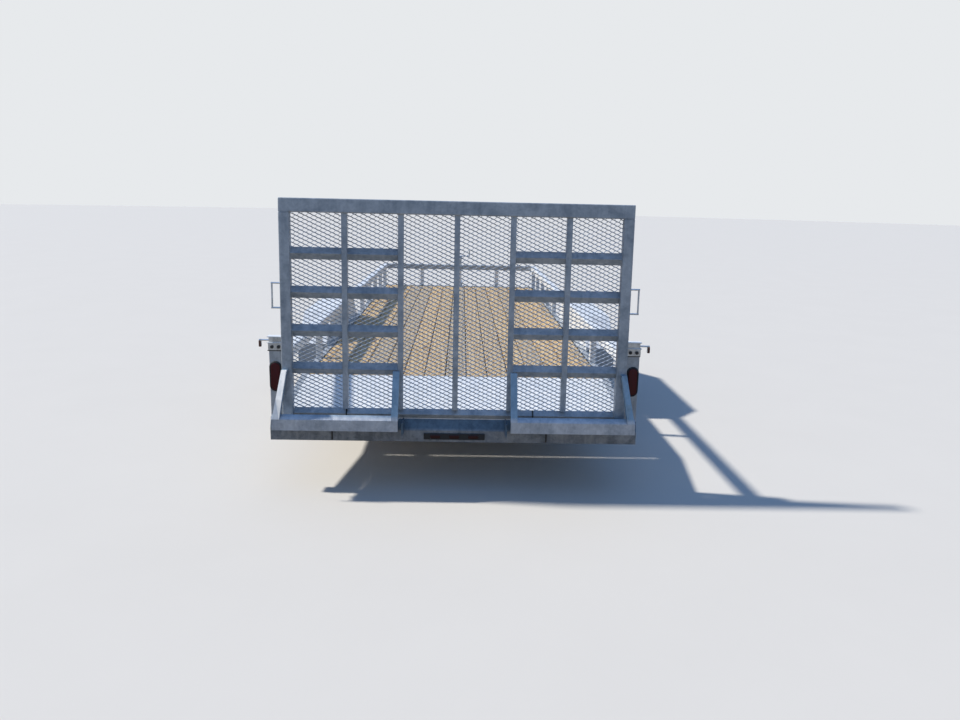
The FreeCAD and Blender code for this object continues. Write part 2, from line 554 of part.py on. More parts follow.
def gate():
    """The ramp gate, with its mesh on the face towards the bed."""
    under = "(gate_top - gate_top_bar)"
    top = local(box("gate_head", ("2 * gate_half", "gate_thick", "gate_top_bar")),
                ("-gate_half", "gate_back", under))
    on_gate("gate_top_bar", several("gate_head_set", [top]))
    sides = [local(box(f"gate_jamb_{side}", ("gate_side", "gate_thick", f"{under} - gate_foot - seat_gap")),
                   (low_x(sign, "(gate_half - gate_side)", "gate_side"), "gate_back", "gate_foot"))
             for side, sign in SIDES]
    on_gate("gate_side_bars", several("gate_jamb_set", sides))
    clear = "(gate_half - gate_side - seat_gap)"
    foot_middle = "(gate_foot + foot_leg * 0.70711)"
    sill = "(gate_foot + 2 * foot_leg * 0.70711 + seat_gap)"
    uprights = [local(box(f"upright_{index}", ("upright", "upright_deep", f"{under} - seat_gap - {sill}")),
                      (f"{index - 2} * bay_pitch - upright / 2", f"{GATE_FRONT} - upright_deep", sill))
                for index in range(5)]
    foot_bar = vee("gate_foot_bar", foot_middle, "foot_leg", f"-{clear}", clear)
    on_gate("gate_uprights", several("gate_upright_set", uprights + [foot_bar]))
    rungs = []
    for side, sign in SIDES:
        # each bay of rungs by its nearer and farther end from the middle
        bays = (("bay_pitch + upright / 2 + seat_gap", "2 * bay_pitch - upright / 2 - seat_gap"),
                ("2 * bay_pitch + upright / 2 + seat_gap", "gate_half - gate_side - seat_gap"))
        for bay, (near, far) in enumerate(bays):
            start, end = (f"({near})", f"({far})") if sign > 0 else (f"(-({far}))", f"(-({near}))")
            for level in range(4):
                rungs.append(vee(f"rung_{side}_{bay}_{level}", f"(rung_high - {level} * rung_pitch)",
                                 "rung_leg", start, end))
    on_gate("gate_rungs", several("rung_set", rungs))
    on_gate("gate_mesh", several("mesh_set", [mesh_sheet()]))
    gate_feet()
    handles = []
    for side, sign in SIDES:
        arms = [local(rod(f"handle_{side}_{index}", "handle_radius", "handle_reach", "x"),
                      (low_x(sign, "(gate_half + seat_gap)", "handle_reach"),
                       "gate_back + gate_thick / 2", f"handle_low + {index} * handle_tall"))
                for index in (0, 1)]
        grip = local(rod(f"handle_{side}_grip", "handle_radius", "handle_tall"),
                     (f"{sign} * (gate_half + handle_reach - handle_radius)", "gate_back + gate_thick / 2",
                      "handle_low"))
        handles.append(fuse(f"handle_{side}", arms + [grip]))
    on_gate("gate_handles", several("handle_set", handles))


def mesh_sheet():
    """The sheet of the mesh, its openings where the columns cross the rows; bars lie behind uprights and rungs."""
    wide, tall = "(2 * (gate_half - mesh_inset))", "(gate_top - gate_foot - 2 * mesh_inset)"
    panel = local(box("mesh_panel", (wide, "mesh_thick", tall)),
                  ("-(gate_half - mesh_inset)", f"{GATE_FRONT} + seat_gap", "gate_foot + mesh_inset"))
    front = f"{GATE_FRONT} + seat_gap - 1"
    columns = [local(box(f"mesh_column_{index}", ("bay_pitch / 2 - mesh_bar", "mesh_thick + 2", tall)),
                     (f"({index} - {MESH_COLUMNS / 2}) * bay_pitch / 2 + mesh_bar / 2", front, "gate_foot"))
               for index in range(MESH_COLUMNS)]
    rows = [local(box(f"mesh_row_{index}", (wide, "mesh_thick + 2", "rung_pitch / 2 - mesh_bar")),
                  ("-(gate_half - mesh_inset)", front,
                   f"rung_high + (1 - {index}) * rung_pitch / 2 + mesh_bar / 2"))
            for index in range(MESH_ROWS)]
    cells = document.addObject("Part::Common", "mesh_cells")
    cells.Base, cells.Tool = several("mesh_columns", columns), several("mesh_rows", rows)
    return cut("mesh_grid", panel, cells)


def slant_bar(name, foot, head):
    """A bar between two level rectangles; each is the X, Y and Z of its low corner, its width and its depth."""
    bar = document.addObject("Part::Wedge", name)
    for marks, (x, y, z, wide, deep) in ((("Xmin", "Xmax", "Zmin", "Zmax", "Ymin"), foot),
                                         (("X2min", "X2max", "Z2min", "Z2max", "Ymax"), head)):
        for mark, formula in zip(marks, (x, f"{x} + {wide}", f"-({y} + {deep})", f"-({y})", z)):
            bind(bar, mark, formula)
    bar.Placement.Rotation = FreeCAD.Rotation(FreeCAD.Vector(1, 0, 0), 90)
    return bar


def gate_feet():
    """Under each outer pair of bays, a braced ledge that carries the hinge lugs and pins."""
    long = "(ledge_outer - ledge_inner)"
    foot_z, lip_z = "ledge_top - ledge_leg", "ledge_top + ledge_lip"
    lip_y, lip_end = "-ledge_back + ledge_lip", "-ledge_back + ledge_lip + ledge_wall"
    outline = [("-ledge_back", foot_z), ("-ledge_back", "ledge_top"), (lip_y, lip_z), (lip_end, lip_z),
               (lip_end, "ledge_top"), ("gate_back - seat_gap", "ledge_top"),
               ("gate_back - seat_gap", "ledge_top - ledge_wall"),
               ("-ledge_back + ledge_wall", "ledge_top - ledge_wall"), ("-ledge_back + ledge_wall", foot_z)]
    feet = []
    for side, sign in SIDES:
        name = f"foot_{side}"
        start = low_x(sign, "ledge_inner", long)
        pieces = [local(prism(name + "_ledge", "side", outline, long), (start, 0, 0))]
        outer = "(ledge_outer - brace_inset - brace_width)"
        # each brace by its distance from the middle and its width, at the foot and at the head
        for index, (foot_x, foot_wide, head_x, head_wide) in enumerate((
                ("ledge_inner", "brace_narrow", "brace_inner", "brace_narrow"),
                (outer, "brace_width", f"({outer} + brace_width - brace_end - brace_slant)", "brace_end"))):
            foot = (low_x(sign, foot_x, foot_wide), "-ledge_back", "ledge_top - 1", foot_wide, "brace_deep")
            head = (low_x(sign, head_x, head_wide), "gate_back - seat_gap - brace_deep", "brace_top",
                    head_wide, "brace_deep")
            pieces.append(slant_bar(f"{name}_brace_{index}", foot, head))
        for index, (hinge_sign, x) in enumerate(HINGES):
            if hinge_sign == sign:
                pieces += hinge_lugs(f"{name}_hinge_{index}", f"{sign} * {x}")
        feet.append(fuse(name, pieces))
    on_gate("gate_feet", several("foot_set", feet))


def hinge_lugs(name, x):
    """Two lugs and their pin, one lug each side of an ear of the bumper."""
    gap = "(ear_thick / 2 + lug_gap)"
    pieces = []
    for index, start in enumerate((f"{x} - {gap} - lug_thick", f"{x} + {gap}")):
        pieces.append(local(box(f"{name}_lug_{index}", ("lug_thick", "2 * lug_radius", "ledge_top - 1")),
                            (start, "-lug_radius", 0)))
        pieces.append(local(rod(f"{name}_eye_{index}", "lug_radius", "lug_thick", "x"), (start, 0, 0)))
    pin = rod(name + "_pin", "pin_radius", f"2 * {gap} + 2 * lug_thick", "x")
    return pieces + [local(pin, (f"{x} - {gap} - lug_thick", 0, 0))]


def check():
    """Every object is computed, and every sub-part is a real, valid shape."""
    for thing in document.Objects:
        if {"Invalid", "Error"} & set(thing.State):
            raise RuntimeError(f"{thing.Label} failed: {thing.State}")
    for label, thing in PARTS.items():
        if thing.Shape.isNull() or not thing.Shape.isValid():
            raise RuntimeError(f"{label} has no valid shape")


frame_rails()
cross_frame()
deck()
rails()
rear_posts()
tongue()
jack()
fenders()
axles()
springs()
wheels()
lamps()
latches()
gate()
document.recompute()
check()
os.makedirs("parts", exist_ok=True)
for label, thing in PARTS.items():
    thing.Shape.exportStep(f"parts/{label}.step")
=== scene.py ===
import json
import math

import bpy
from mathutils import Matrix, Quaternion, Vector


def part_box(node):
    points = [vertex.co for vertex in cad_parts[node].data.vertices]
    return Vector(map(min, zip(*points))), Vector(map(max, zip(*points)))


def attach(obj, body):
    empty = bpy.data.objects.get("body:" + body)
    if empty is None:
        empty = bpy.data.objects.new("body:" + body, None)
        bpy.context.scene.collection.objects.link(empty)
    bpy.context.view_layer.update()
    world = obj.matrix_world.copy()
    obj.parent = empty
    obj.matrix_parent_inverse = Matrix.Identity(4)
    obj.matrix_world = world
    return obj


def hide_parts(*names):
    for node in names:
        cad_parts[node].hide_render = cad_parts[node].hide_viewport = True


# A galvanized utility trailer seen from behind, in metres: X is to the right, Y forward, Z up.

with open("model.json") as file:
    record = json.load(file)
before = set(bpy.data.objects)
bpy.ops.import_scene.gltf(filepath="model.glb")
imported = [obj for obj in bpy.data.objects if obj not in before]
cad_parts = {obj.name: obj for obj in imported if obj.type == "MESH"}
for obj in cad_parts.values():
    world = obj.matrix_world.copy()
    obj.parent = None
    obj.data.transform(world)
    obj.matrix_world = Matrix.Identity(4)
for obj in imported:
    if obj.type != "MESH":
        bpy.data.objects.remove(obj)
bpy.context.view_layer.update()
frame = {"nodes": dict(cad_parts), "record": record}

MM = 0.001
# how far a trim piece goes into what carries it, and what keeps faces that touch out of one plane
SINK, TOUCH = 1 * MM, 0.1 * MM
SIDES = (("left", -1), ("right", 1))
ENDS = ("front", "rear")

JOINTS = {joint["name"]: joint for joint in frame["record"]["behaviour"]["joints"]}
HINGE = Vector(JOINTS["gate_hinge"]["pos_m"])
GATE_LEAN = math.radians(2.5)
GATE_TURN = Matrix.Translation(HINGE) @ Matrix.Rotation(-GATE_LEAN, 4, "X")


def box(node):
    """A CAD node's lowest and highest corner."""
    low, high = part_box(node)
    return Vector(low), Vector(high)


def wheels():
    """Each wheel's name and body, its middle and the sign of its side."""
    for end in ENDS:
        for side, sign in SIDES:
            body = f"wheel_{end}_{side}"
            yield f"{end}_{side}", body, Vector(JOINTS[f"{body}_spin"]["pos_m"]), sign


# Shader nodes

def add(tree, kind, props=None, **inputs):
    """A shader node; each input is a value or another node's socket."""
    node = tree.nodes.new(kind)
    for name, value in (props or {}).items():
        setattr(node, name, value)
    for name, value in inputs.items():
        join(tree, value, node.inputs[name.replace("_", " ")])
    return node


def join(tree, value, socket):
    """Link a socket, or set a plain value."""
    if isinstance(value, bpy.types.NodeSocket):
        tree.links.new(value, socket)
    elif hasattr(value, "__len__") and len(value) == 3 and len(socket.default_value) == 4:
        socket.default_value = (*value, 1)
    else:
        socket.default_value = value


# where a mix node keeps its share, its two colours and its mixed colour
MIX_SHARE, MIX_FIRST, MIX_SECOND, MIX_RESULT = 0, 6, 7, 2


def blend_colour(tree, share, first, second, kind="MIX"):
    """Two colours mixed, or blended in another way, by a share from 0 to 1."""
    node = tree.nodes.new("ShaderNodeMix")
    node.data_type = "RGBA"
    node.blend_type = kind
    for index, value in ((MIX_SHARE, share), (MIX_FIRST, first), (MIX_SECOND, second)):
        join(tree, value, node.inputs[index])
    return node.outputs[MIX_RESULT]


def sums(tree, kind, first, second=0.0, third=0.0):
    """A maths node of one kind, with up to three inputs."""
    node = tree.nodes.new("ShaderNodeMath")
    node.operation = kind
    for index, value in enumerate((first, second, third)):
        join(tree, value, node.inputs[index])
    return node.outputs[0]


def spread(tree, value, low, high, to_low=0.0, to_high=1.0):
    """Map a range of values to another, with no overshoot."""
    node = add(tree, "ShaderNodeMapRange", Value=value, From_Min=low, From_Max=high,
               To_Min=to_low, To_Max=to_high)
    return node.outputs[0]


def noise(tree, where, scale, detail, rough, distort=0.0):
    """Cloudy values about 0.5."""
    node = add(tree, "ShaderNodeTexNoise", Vector=where, Scale=scale, Detail=detail, Roughness=rough,
               Distortion=distort)
    return node.outputs["Fac"]


def stretch(tree, where, scale):
    """Coordinates scaled along each axis, so that what uses them is squeezed."""
    return add(tree, "ShaderNodeMapping", Vector=where, Scale=scale).outputs[0]


def material(name):
    """A material with its tree, its shader and the object's own coordinates."""
    mat = bpy.data.materials.new(name)
    mat.use_nodes = True
    tree = mat.node_tree
    shader = tree.nodes["Principled BSDF"]
    where = tree.nodes.new("ShaderNodeTexCoord").outputs["Object"]
    return mat, tree, shader, where


def bump(tree, shader, height, distance, strength):
    """Small relief: height from 0 to 1 over a distance in metres."""
    node = add(tree, "ShaderNodeBump", Height=height, Distance=distance, Strength=strength)
    tree.links.new(node.outputs[0], shader.inputs["Normal"])


# Materials

# over how much height the blue tint of painted shade and sky reflection sets in
SKY_SHADE_RISE = 20 * MM
STAIN = (0.62, 0.66, 0.68)


def galvanized(name, dark, pale, spangle, metal, streak=0.35, painted_sky_shade=None):
    """Hot-dip zinc: crystals of slightly different greys, cloudy patches and runs down the faces.

    dark and pale are its tones, spangle the crystals' scale and streak the runs' share.
    The last argument is a height and a blue tint multiplied in above it: painted shade and painted sky
    reflection.
    """
    mat, tree, shader, where = material(name)
    cells = add(tree, "ShaderNodeTexVoronoi", Vector=where, Scale=spangle, Randomness=1.0)
    grain = add(tree, "ShaderNodeSeparateColor", Color=cells.outputs["Color"]).outputs[0]
    clouds = noise(tree, where, 9.0, 6.0, 0.6, 0.8)
    fine = noise(tree, where, 75.0, 5.0, 0.65, 0.4)
    runs = noise(tree, stretch(tree, where, (34.0, 34.0, 3.0)), 1.0, 4.0, 0.6, 0.3)
    tone = sums(tree, "MULTIPLY", spread(tree, clouds, 0.34, 0.68), 0.5)
    tone = sums(tree, "MULTIPLY_ADD", grain, 0.2, tone)
    tone = sums(tree, "MULTIPLY_ADD", spread(tree, fine, 0.3, 0.7), 0.2, tone)
    tone = sums(tree, "MULTIPLY_ADD", spread(tree, runs, 0.35, 0.7), 0.1 + streak * 0.3, tone)
    colour = blend_colour(tree, spread(tree, tone, 0.2, 0.82), dark, pale)
    stain = spread(tree, noise(tree, where, 4.0, 5.0, 0.7, 1.2), 0.62, 0.78)
    colour = blend_colour(tree, sums(tree, "MULTIPLY", stain, 0.22), colour, STAIN)
    # above the given height a blue tint is multiplied in: painted shade and painted sky reflection
    if painted_sky_shade:
        start, tint = painted_sky_shade
        up = add(tree, "ShaderNodeSeparateXYZ", Vector=where).outputs["Z"]
        colour = blend_colour(tree, spread(tree, up, start, start + SKY_SHADE_RISE), colour, tint, "MULTIPLY")
    tree.links.new(colour, shader.inputs["Base Color"])
    gloss = spread(tree, sums(tree, "ADD", grain, fine), 0.4, 1.5, 0.36, 0.6)
    tree.links.new(gloss, shader.inputs["Roughness"])
    shader.inputs["Metallic"].default_value = metal
    height = sums(tree, "MULTIPLY_ADD", clouds, 1.4, fine)
    bump(tree, shader, sums(tree, "MULTIPLY_ADD", runs, 0.6, height), 0.0007, 0.5)
    return mat


def bright_zinc():
    """Electroplated steel of the small fittings."""
    mat, tree, shader, where = material("bright_zinc")
    patches = noise(tree, where, 26.0, 5.0, 0.6, 0.3)
    scratches = noise(tree, stretch(tree, where, (400.0, 60.0, 60.0)), 1.0, 3.0, 0.6)
    colour = blend_colour(tree, spread(tree, patches, 0.35, 0.65), (0.42, 0.45, 0.48), (0.66, 0.68, 0.69))
    tree.links.new(colour, shader.inputs["Base Color"])
    tree.links.new(spread(tree, sums(tree, "ADD", patches, scratches), 0.7, 1.3, 0.22, 0.42),
                   shader.inputs["Roughness"])
    shader.inputs["Metallic"].default_value = 0.9
    bump(tree, shader, scratches, 0.0002, 0.4)
    return mat


# early and late wood of a new and of a weathered board
GOLDEN_WOOD = ((0.72, 0.525, 0.28), (0.52, 0.345, 0.16))
GREY_WOOD = ((0.47, 0.405, 0.30), (0.335, 0.275, 0.195))
FIBRE_BROWN, KNOT_BROWN = (0.20, 0.13, 0.07), (0.13, 0.065, 0.028)


def pine(pitch, first):
    """Treated boards along Y: each has its own tone, with grain, knots and saw marks."""
    mat, tree, shader, where = material("pine_boards")
    place = add(tree, "ShaderNodeSeparateXYZ", Vector=where)
    across = sums(tree, "SUBTRACT", place.outputs["X"], first)
    number = sums(tree, "FLOOR", sums(tree, "DIVIDE", across, pitch))
    dice = add(tree, "ShaderNodeTexWhiteNoise", {"noise_dimensions": "1D"}, W=number)
    own = dice.outputs["Value"]
    shift = add(tree, "ShaderNodeCombineXYZ", X=sums(tree, "MULTIPLY", own, 7.0),
                Y=sums(tree, "MULTIPLY", own, 31.0), Z=sums(tree, "MULTIPLY", own, 3.0))
    board = add(tree, "ShaderNodeVectorMath", {"operation": "ADD"})
    join(tree, where, board.inputs[0])
    join(tree, shift.outputs[0], board.inputs[1])
    board = board.outputs[0]
    wander = noise(tree, stretch(tree, board, (7.0, 0.8, 7.0)), 1.0, 3.0, 0.5, 0.6)
    knots = add(tree, "ShaderNodeTexVoronoi", Vector=stretch(tree, board, (5.2, 1.5, 2.0)), Scale=1.0)
    knot = spread(tree, knots.outputs["Distance"], 0.05, 0.16, 1.0, 0.0)
    bend = sums(tree, "MULTIPLY", wander, 9.0)
    rings = sums(tree, "ADD", sums(tree, "MULTIPLY", place.outputs["X"], 62.0), bend)
    round_knot = spread(tree, knots.outputs["Distance"], 0.0, 0.45, 1.0, 0.0)
    rings = sums(tree, "MULTIPLY_ADD", round_knot, 2.6, rings)
    lines = spread(tree, sums(tree, "SINE", sums(tree, "MULTIPLY", rings, 3.1)), -0.6, 1.0)
    fibre = noise(tree, stretch(tree, board, (420.0, 9.0, 420.0)), 1.0, 4.0, 0.6)
    saw = noise(tree, stretch(tree, board, (9.0, 260.0, 9.0)), 1.0, 2.0, 0.5)
    weather = noise(tree, stretch(tree, board, (9.0, 1.3, 9.0)), 1.0, 5.0, 0.62, 0.5)
    golden = blend_colour(tree, lines, *GOLDEN_WOOD)
    grey = blend_colour(tree, lines, *GREY_WOOD)
    patches = spread(tree, weather, 0.42, 0.75, 0.0, 0.45)
    age = sums(tree, "MULTIPLY_ADD", spread(tree, own, 0.45, 0.95), 0.75, patches)
    colour = blend_colour(tree, age, golden, grey)
    dark_fibre = sums(tree, "MULTIPLY", spread(tree, fibre, 0.42, 0.72), 0.35)
    colour = blend_colour(tree, dark_fibre, colour, FIBRE_BROWN)
    colour = blend_colour(tree, sums(tree, "MULTIPLY", knot, 0.85), colour, KNOT_BROWN)
    tree.links.new(colour, shader.inputs["Base Color"])
    shader.inputs["Roughness"].default_value = 0.78
    shader.inputs["Specular IOR Level"].default_value = 0.3
    height = sums(tree, "MULTIPLY_ADD", saw, 0.7, fibre)
    bump(tree, shader, sums(tree, "MULTIPLY_ADD", lines, 0.5, height), 0.0011, 0.7)
    return mat


def rubber():
    """Tyre rubber with a little road dust in its low places."""
    mat, tree, shader, where = material("tyre_rubber")
    dust = noise(tree, where, 14.0, 6.0, 0.65, 0.5)
    grit = noise(tree, where, 220.0, 3.0, 0.6)
    colour = blend_colour(tree, spread(tree, dust, 0.42, 0.72, 0.0, 0.55), (0.016, 0.016, 0.017),
                          (0.085, 0.078, 0.066))
    tree.links.new(colour, shader.inputs["Base Color"])
    tree.links.new(spread(tree, dust, 0.3, 0.7, 0.55, 0.85), shader.inputs["Roughness"])
    bump(tree, shader, grit, 0.0004, 0.5)
    return mat


def paint(name, colour, worn, roughness, metal=0.0):
    """Sprayed paint with orange peel, faded patches and a gloss that varies."""
    mat, tree, shader, where = material(name)
    fade = noise(tree, where, 11.0, 5.0, 0.6, 0.6)
    peel = noise(tree, where, 420.0, 2.0, 0.5)
    mixed = blend_colour(tree, spread(tree, fade, 0.4, 0.72, 0.0, 0.6), colour, worn)
    tree.links.new(mixed, shader.inputs["Base Color"])
    gloss = spread(tree, fade, 0.3, 0.7, roughness - 0.08, roughness + 0.14)
    tree.links.new(gloss, shader.inputs["Roughness"])
    shader.inputs["Metallic"].default_value = metal
    bump(tree, shader, peel, 0.0002, 0.4)
    return mat


def lens(name, colour, deep):
    """Moulded lamp plastic: glossy and tinted, with small prisms behind its face."""
    mat, tree, shader, where = material(name)
    prisms = add(tree, "ShaderNodeTexVoronoi", {"distance": "CHEBYCHEV"}, Vector=where, Scale=170.0,
                 Randomness=0.0)
    cell = spread(tree, prisms.outputs["Distance"], 0.1, 0.6)
    mixed = blend_colour(tree, cell, colour, deep)
    tree.links.new(mixed, shader.inputs["Base Color"])
    shader.inputs["Roughness"].default_value = 0.3
    shader.inputs["Specular IOR Level"].default_value = 0.25
    shader.inputs["Coat Weight"].default_value = 0.1
    shader.inputs["Coat Roughness"].default_value = 0.06
    bump(tree, shader, cell, 0.0006, 0.5)
    return mat


PLANK_COUNT = 13
PLANK_PITCH = 143 * MM
PLANK_FIRST = -PLANK_COUNT / 2 * PLANK_PITCH

STEEL = galvanized("galvanized_frame", (0.27, 0.30, 0.33), (0.50, 0.53, 0.555), 55.0, 0.22)
GATE_STEEL = galvanized("galvanized_gate", (0.25, 0.29, 0.33), (0.48, 0.52, 0.555), 62.0, 0.25)
# one strand sheet in two zincs: pale on the rising strands as a painted sunlit highlight, dark on the
# falling ones as painted shade
MESH_SUNLIT_AND_SHADED = {
    "rising": galvanized("galvanized_mesh_painted_sunlit", (0.84, 0.865, 0.89), (0.96, 0.965, 0.97), 90.0, 0.3),
    "falling": galvanized("galvanized_mesh", (0.26, 0.285, 0.31), (0.48, 0.51, 0.54), 90.0, 0.15),
}
SHEET = galvanized("galvanized_sheet", (0.68, 0.72, 0.755), (0.88, 0.895, 0.91), 38.0, 0.12, 0.15)
# the bumper's zinc is darker than the frame's as painted shade, with a blue tint above 0.372 m on its slope
# as painted shade and painted sky reflection
SHADED_BUMPER_STEEL = galvanized("galvanized_bumper_painted_shade", (0.13, 0.15, 0.175), (0.33, 0.355, 0.385), 48.0, 0.3,
                          painted_sky_shade=(0.372, (0.36, 0.53, 0.67)))
# a blue tint above 0.475 m, on the braces over the ledges: painted shade and painted sky reflection
FOOT_STEEL = galvanized("galvanized_feet", (0.35, 0.39, 0.44), (0.62, 0.65, 0.69), 58.0, 0.35,
                        painted_sky_shade=(0.475, (0.50, 0.70, 0.84)))
ZINC = bright_zinc()
PINE = pine(PLANK_PITCH, PLANK_FIRST)
RUBBER = rubber()
SILVER = paint("rim_silver", (0.50, 0.515, 0.53), (0.36, 0.37, 0.375), 0.36, 0.55)
BLACK = paint("axle_black", (0.022, 0.022, 0.024), (0.055, 0.052, 0.048), 0.5)
GASKET = paint("lamp_gasket", (0.014, 0.014, 0.015), (0.035, 0.035, 0.035), 0.6)
RED = lens("lamp_red_lens", (0.10, 0.003, 0.008), (0.04, 0.001, 0.003))
GRIP_BROWN = paint("grip_brown", (0.075, 0.022, 0.014), (0.12, 0.045, 0.03), 0.55)
MARKER_RED = lens("marker_red_lens", (0.055, 0.006, 0.008), (0.02, 0.002, 0.002))


# CAD nodes that stay

WELD_GAP = 0.02 * MM
FLAT_ANGLE, EDGE_ANGLE = math.radians(1), math.radians(40)
# their material and the radius of their edges in millimetres, 0 where they stay sharp
FINISHES = {
    "gate_top_bar": (GATE_STEEL, 5), "gate_side_bars": (GATE_STEEL, 5), "gate_uprights": (GATE_STEEL, 1.5),
    "gate_rungs": (GATE_STEEL, 1.2), "gate_feet": (FOOT_STEEL, 1.5), "gate_handles": (ZINC, 0),
    "bumper": (SHADED_BUMPER_STEEL, 2), "rear_posts": (STEEL, 5), "frame_rail_left": (STEEL, 2),
    "frame_rail_right": (STEEL, 2), "front_channel": (STEEL, 2), "cross_channels": (STEEL, 1.5),
    "tongue_channels": (STEEL, 2), "side_rails": (SHEET, 6), "front_rail": (STEEL, 6),
    "rail_stakes": (SHEET, 4), "tail_deck": (SHEET, 1), "fender_left": (SHEET, 0.8),
    "fender_right": (SHEET, 0.8), "deck_planks": (PINE, 3), "spring_hangers": (BLACK, 2),
    "leaf_springs": (BLACK, 2), "axle_front": (BLACK, 0), "axle_rear": (BLACK, 0),
    "coupler": (ZINC, 4), "jack_plate": (STEEL, 1.5), "jack_tube": (ZINC, 0), "jack_leg": (ZINC, 0),
    "jack_crank": (ZINC, 0), "post_latches": (ZINC, 2), "marker_bar": (GASKET, 3),
}
for wheel, *_ in wheels():
    FINISHES[f"rim_{wheel}"] = (SILVER, 0)
    FINISHES[f"hub_{wheel}"] = (BLACK, 0)


def finish_node(node, mat, radius):
    """Give a CAD node its material and rounded edges."""
    thing = frame["nodes"][node]
    thing.data.materials.clear()
    thing.data.materials.append(mat)
    if not radius:
        return
    weld = thing.modifiers.new("weld", "WELD")
    weld.merge_threshold = WELD_GAP
    flat = thing.modifiers.new("flat", "DECIMATE")
    flat.decimate_type = "DISSOLVE"
    flat.angle_limit = FLAT_ANGLE
    edge = thing.modifiers.new("edges", "BEVEL")
    edge.width = radius * MM
    edge.segments = 2
    edge.limit_method = "ANGLE"
    edge.angle_limit = EDGE_ANGLE
    edge.harden_normals = False
    shade = thing.modifiers.new("shade", "WEIGHTED_NORMAL")
    shade.keep_sharp = True


for node, (mat, radius) in FINISHES.items():
    finish_node(node, mat, radius)


# Meshes

class Build:
    """Verts and faces that several shapes share."""

    def __init__(self):
        self.verts, self.faces = [], []

    def rings(self, rings, matrix=None, caps=True):
        """Skin rings of equal counts; a ring is a closed loop of points."""
        first, count = len(self.verts), len(rings[0])
        points = [Vector(point) for ring in rings for point in ring]
        self.verts += [matrix @ point for point in points] if matrix else points
        last = len(self.verts) - count
        for row in range(first, last, count):
            for col in range(count):
                step = (col + 1) % count
                self.faces.append((row + col, row + step, row + count + step, row + count + col))
        if caps:
            self.faces.append(tuple(reversed(range(first, first + count))))
            self.faces.append(tuple(range(last, last + count)))

    def block(self, low, high):
        """A box between two corners."""
        x0, y0, z0 = low
        x1, y1, z1 = high
        self.rings([[(x0, y0, z), (x1, y0, z), (x1, y1, z), (x0, y1, z)] for z in (z0, z1)])

    def tube(self, path, radius, sides):
        """A round bar along a path; radius is a number or one for each point."""
        points = [Vector(p) for p in path]
        radii = radius if hasattr(radius, "__len__") else [radius] * len(points)
        ahead = (points[1] - points[0]).normalized()
        up = ahead.orthogonal().normalized()
        loops = []
        for index, point in enumerate(points):
            before = points[max(index - 1, 0)]
            after = points[min(index + 1, len(points) - 1)]
            new = (after - before).normalized()
            up.rotate(ahead.rotation_difference(new))
            ahead = new
            across = ahead.cross(up).normalized()
            loops.append([point + radii[index] * (math.cos(turn) * up + math.sin(turn) * across)
                          for turn in (2 * math.pi * k / sides for k in range(sides))])
        self.rings(loops)

    def make(self, name, mat, body, slot, smooth=None):
        """A mesh that rides on a body; edges under the smooth angle, in degrees, are shaded round."""
        mesh = bpy.data.meshes.new(name)
        mesh.from_pydata([tuple(v) for v in self.verts], [], self.faces)
        mesh.validate()
        thing = bpy.data.objects.new(name, mesh)
        bpy.context.collection.objects.link(thing)
        mesh.materials.append(mat)
        if smooth:
            mesh.shade_smooth()
            mesh.set_sharp_from_angle(angle=math.radians(smooth))
        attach(thing, body)
        return thing


def circle(radius, sides, height=0.0):
    """A ring of points about Z."""
    turns = [2 * math.pi * k / sides for k in range(sides)]
    return [Vector((radius * math.cos(turn), radius * math.sin(turn), height)) for turn in turns]


def oval(width, tall, sides=28):
    """A ring of points in XZ with straight sides and round ends."""
    radius, lift = width / 2, (tall - width) / 2
    points = []
    for k in range(sides):
        turn = 2 * math.pi * (k + 0.5) / sides
        rise = lift if math.sin(turn) > 0 else -lift
        points.append(Vector((radius * math.cos(turn), 0, radius * math.sin(turn) + rise)))
    return points


# Expanded mesh: one raised strand from bond to bond, repeated over the sheet.
# What is on the gate is measured from its hinge pins, with the gate upright.

CELL_WIDE, CELL_TALL = 50.8 * MM, 23.4 * MM
STRAND_WIDE, STRAND_THICK = 5.6 * MM, 2.4 * MM
RISING_TILT, FALLING_TILT = math.radians(12), math.radians(42)
BOND_HALF = 5.5 * MM
# share of a strand's width by which the two at a bond lie apart, and how far it leans between bonds
BOND_SHARE, STRAND_LEAN = 0.4, 0.6
# the sheet: half its width, its lower and upper edge, and how far forward it lies
MESH_HALF, MESH_LOW, MESH_HIGH, MESH_FORWARD = 987 * MM, 37 * MM, 1270 * MM, 79.5 * MM


def strand_rings(start, end):
    """Four sections of a strand between two bonds, its wide face turned up and back."""
    rise = 1 if end[1] > start[1] else -1
    flat, slope = Vector((0, 0, 1)), Vector((-rise * STRAND_LEAN, 0, 1)).normalized()
    tilt = RISING_TILT if rise > 0 else FALLING_TILT
    lift = Vector((0, math.cos(tilt), math.sin(tilt))) * STRAND_WIDE * BOND_SHARE * rise
    first, last = Vector((start[0], 0, start[1])) + lift, Vector((end[0], 0, end[1])) - lift
    bond = Vector((BOND_HALF, 0, 0))
    forward = Vector((0, 1, 0))
    rings = []
    for stop, up in ((first, flat), (first + bond, slope), (last - bond, slope), (last, flat)):
        wide = (forward * math.cos(tilt) + up * math.sin(tilt)) * STRAND_WIDE / 2
        deep = (forward * math.sin(tilt) - up * math.cos(tilt)) * STRAND_THICK / 2
        rings.append([stop + wide + deep, stop - wide + deep, stop - wide - deep, stop + wide - deep])
    return rings


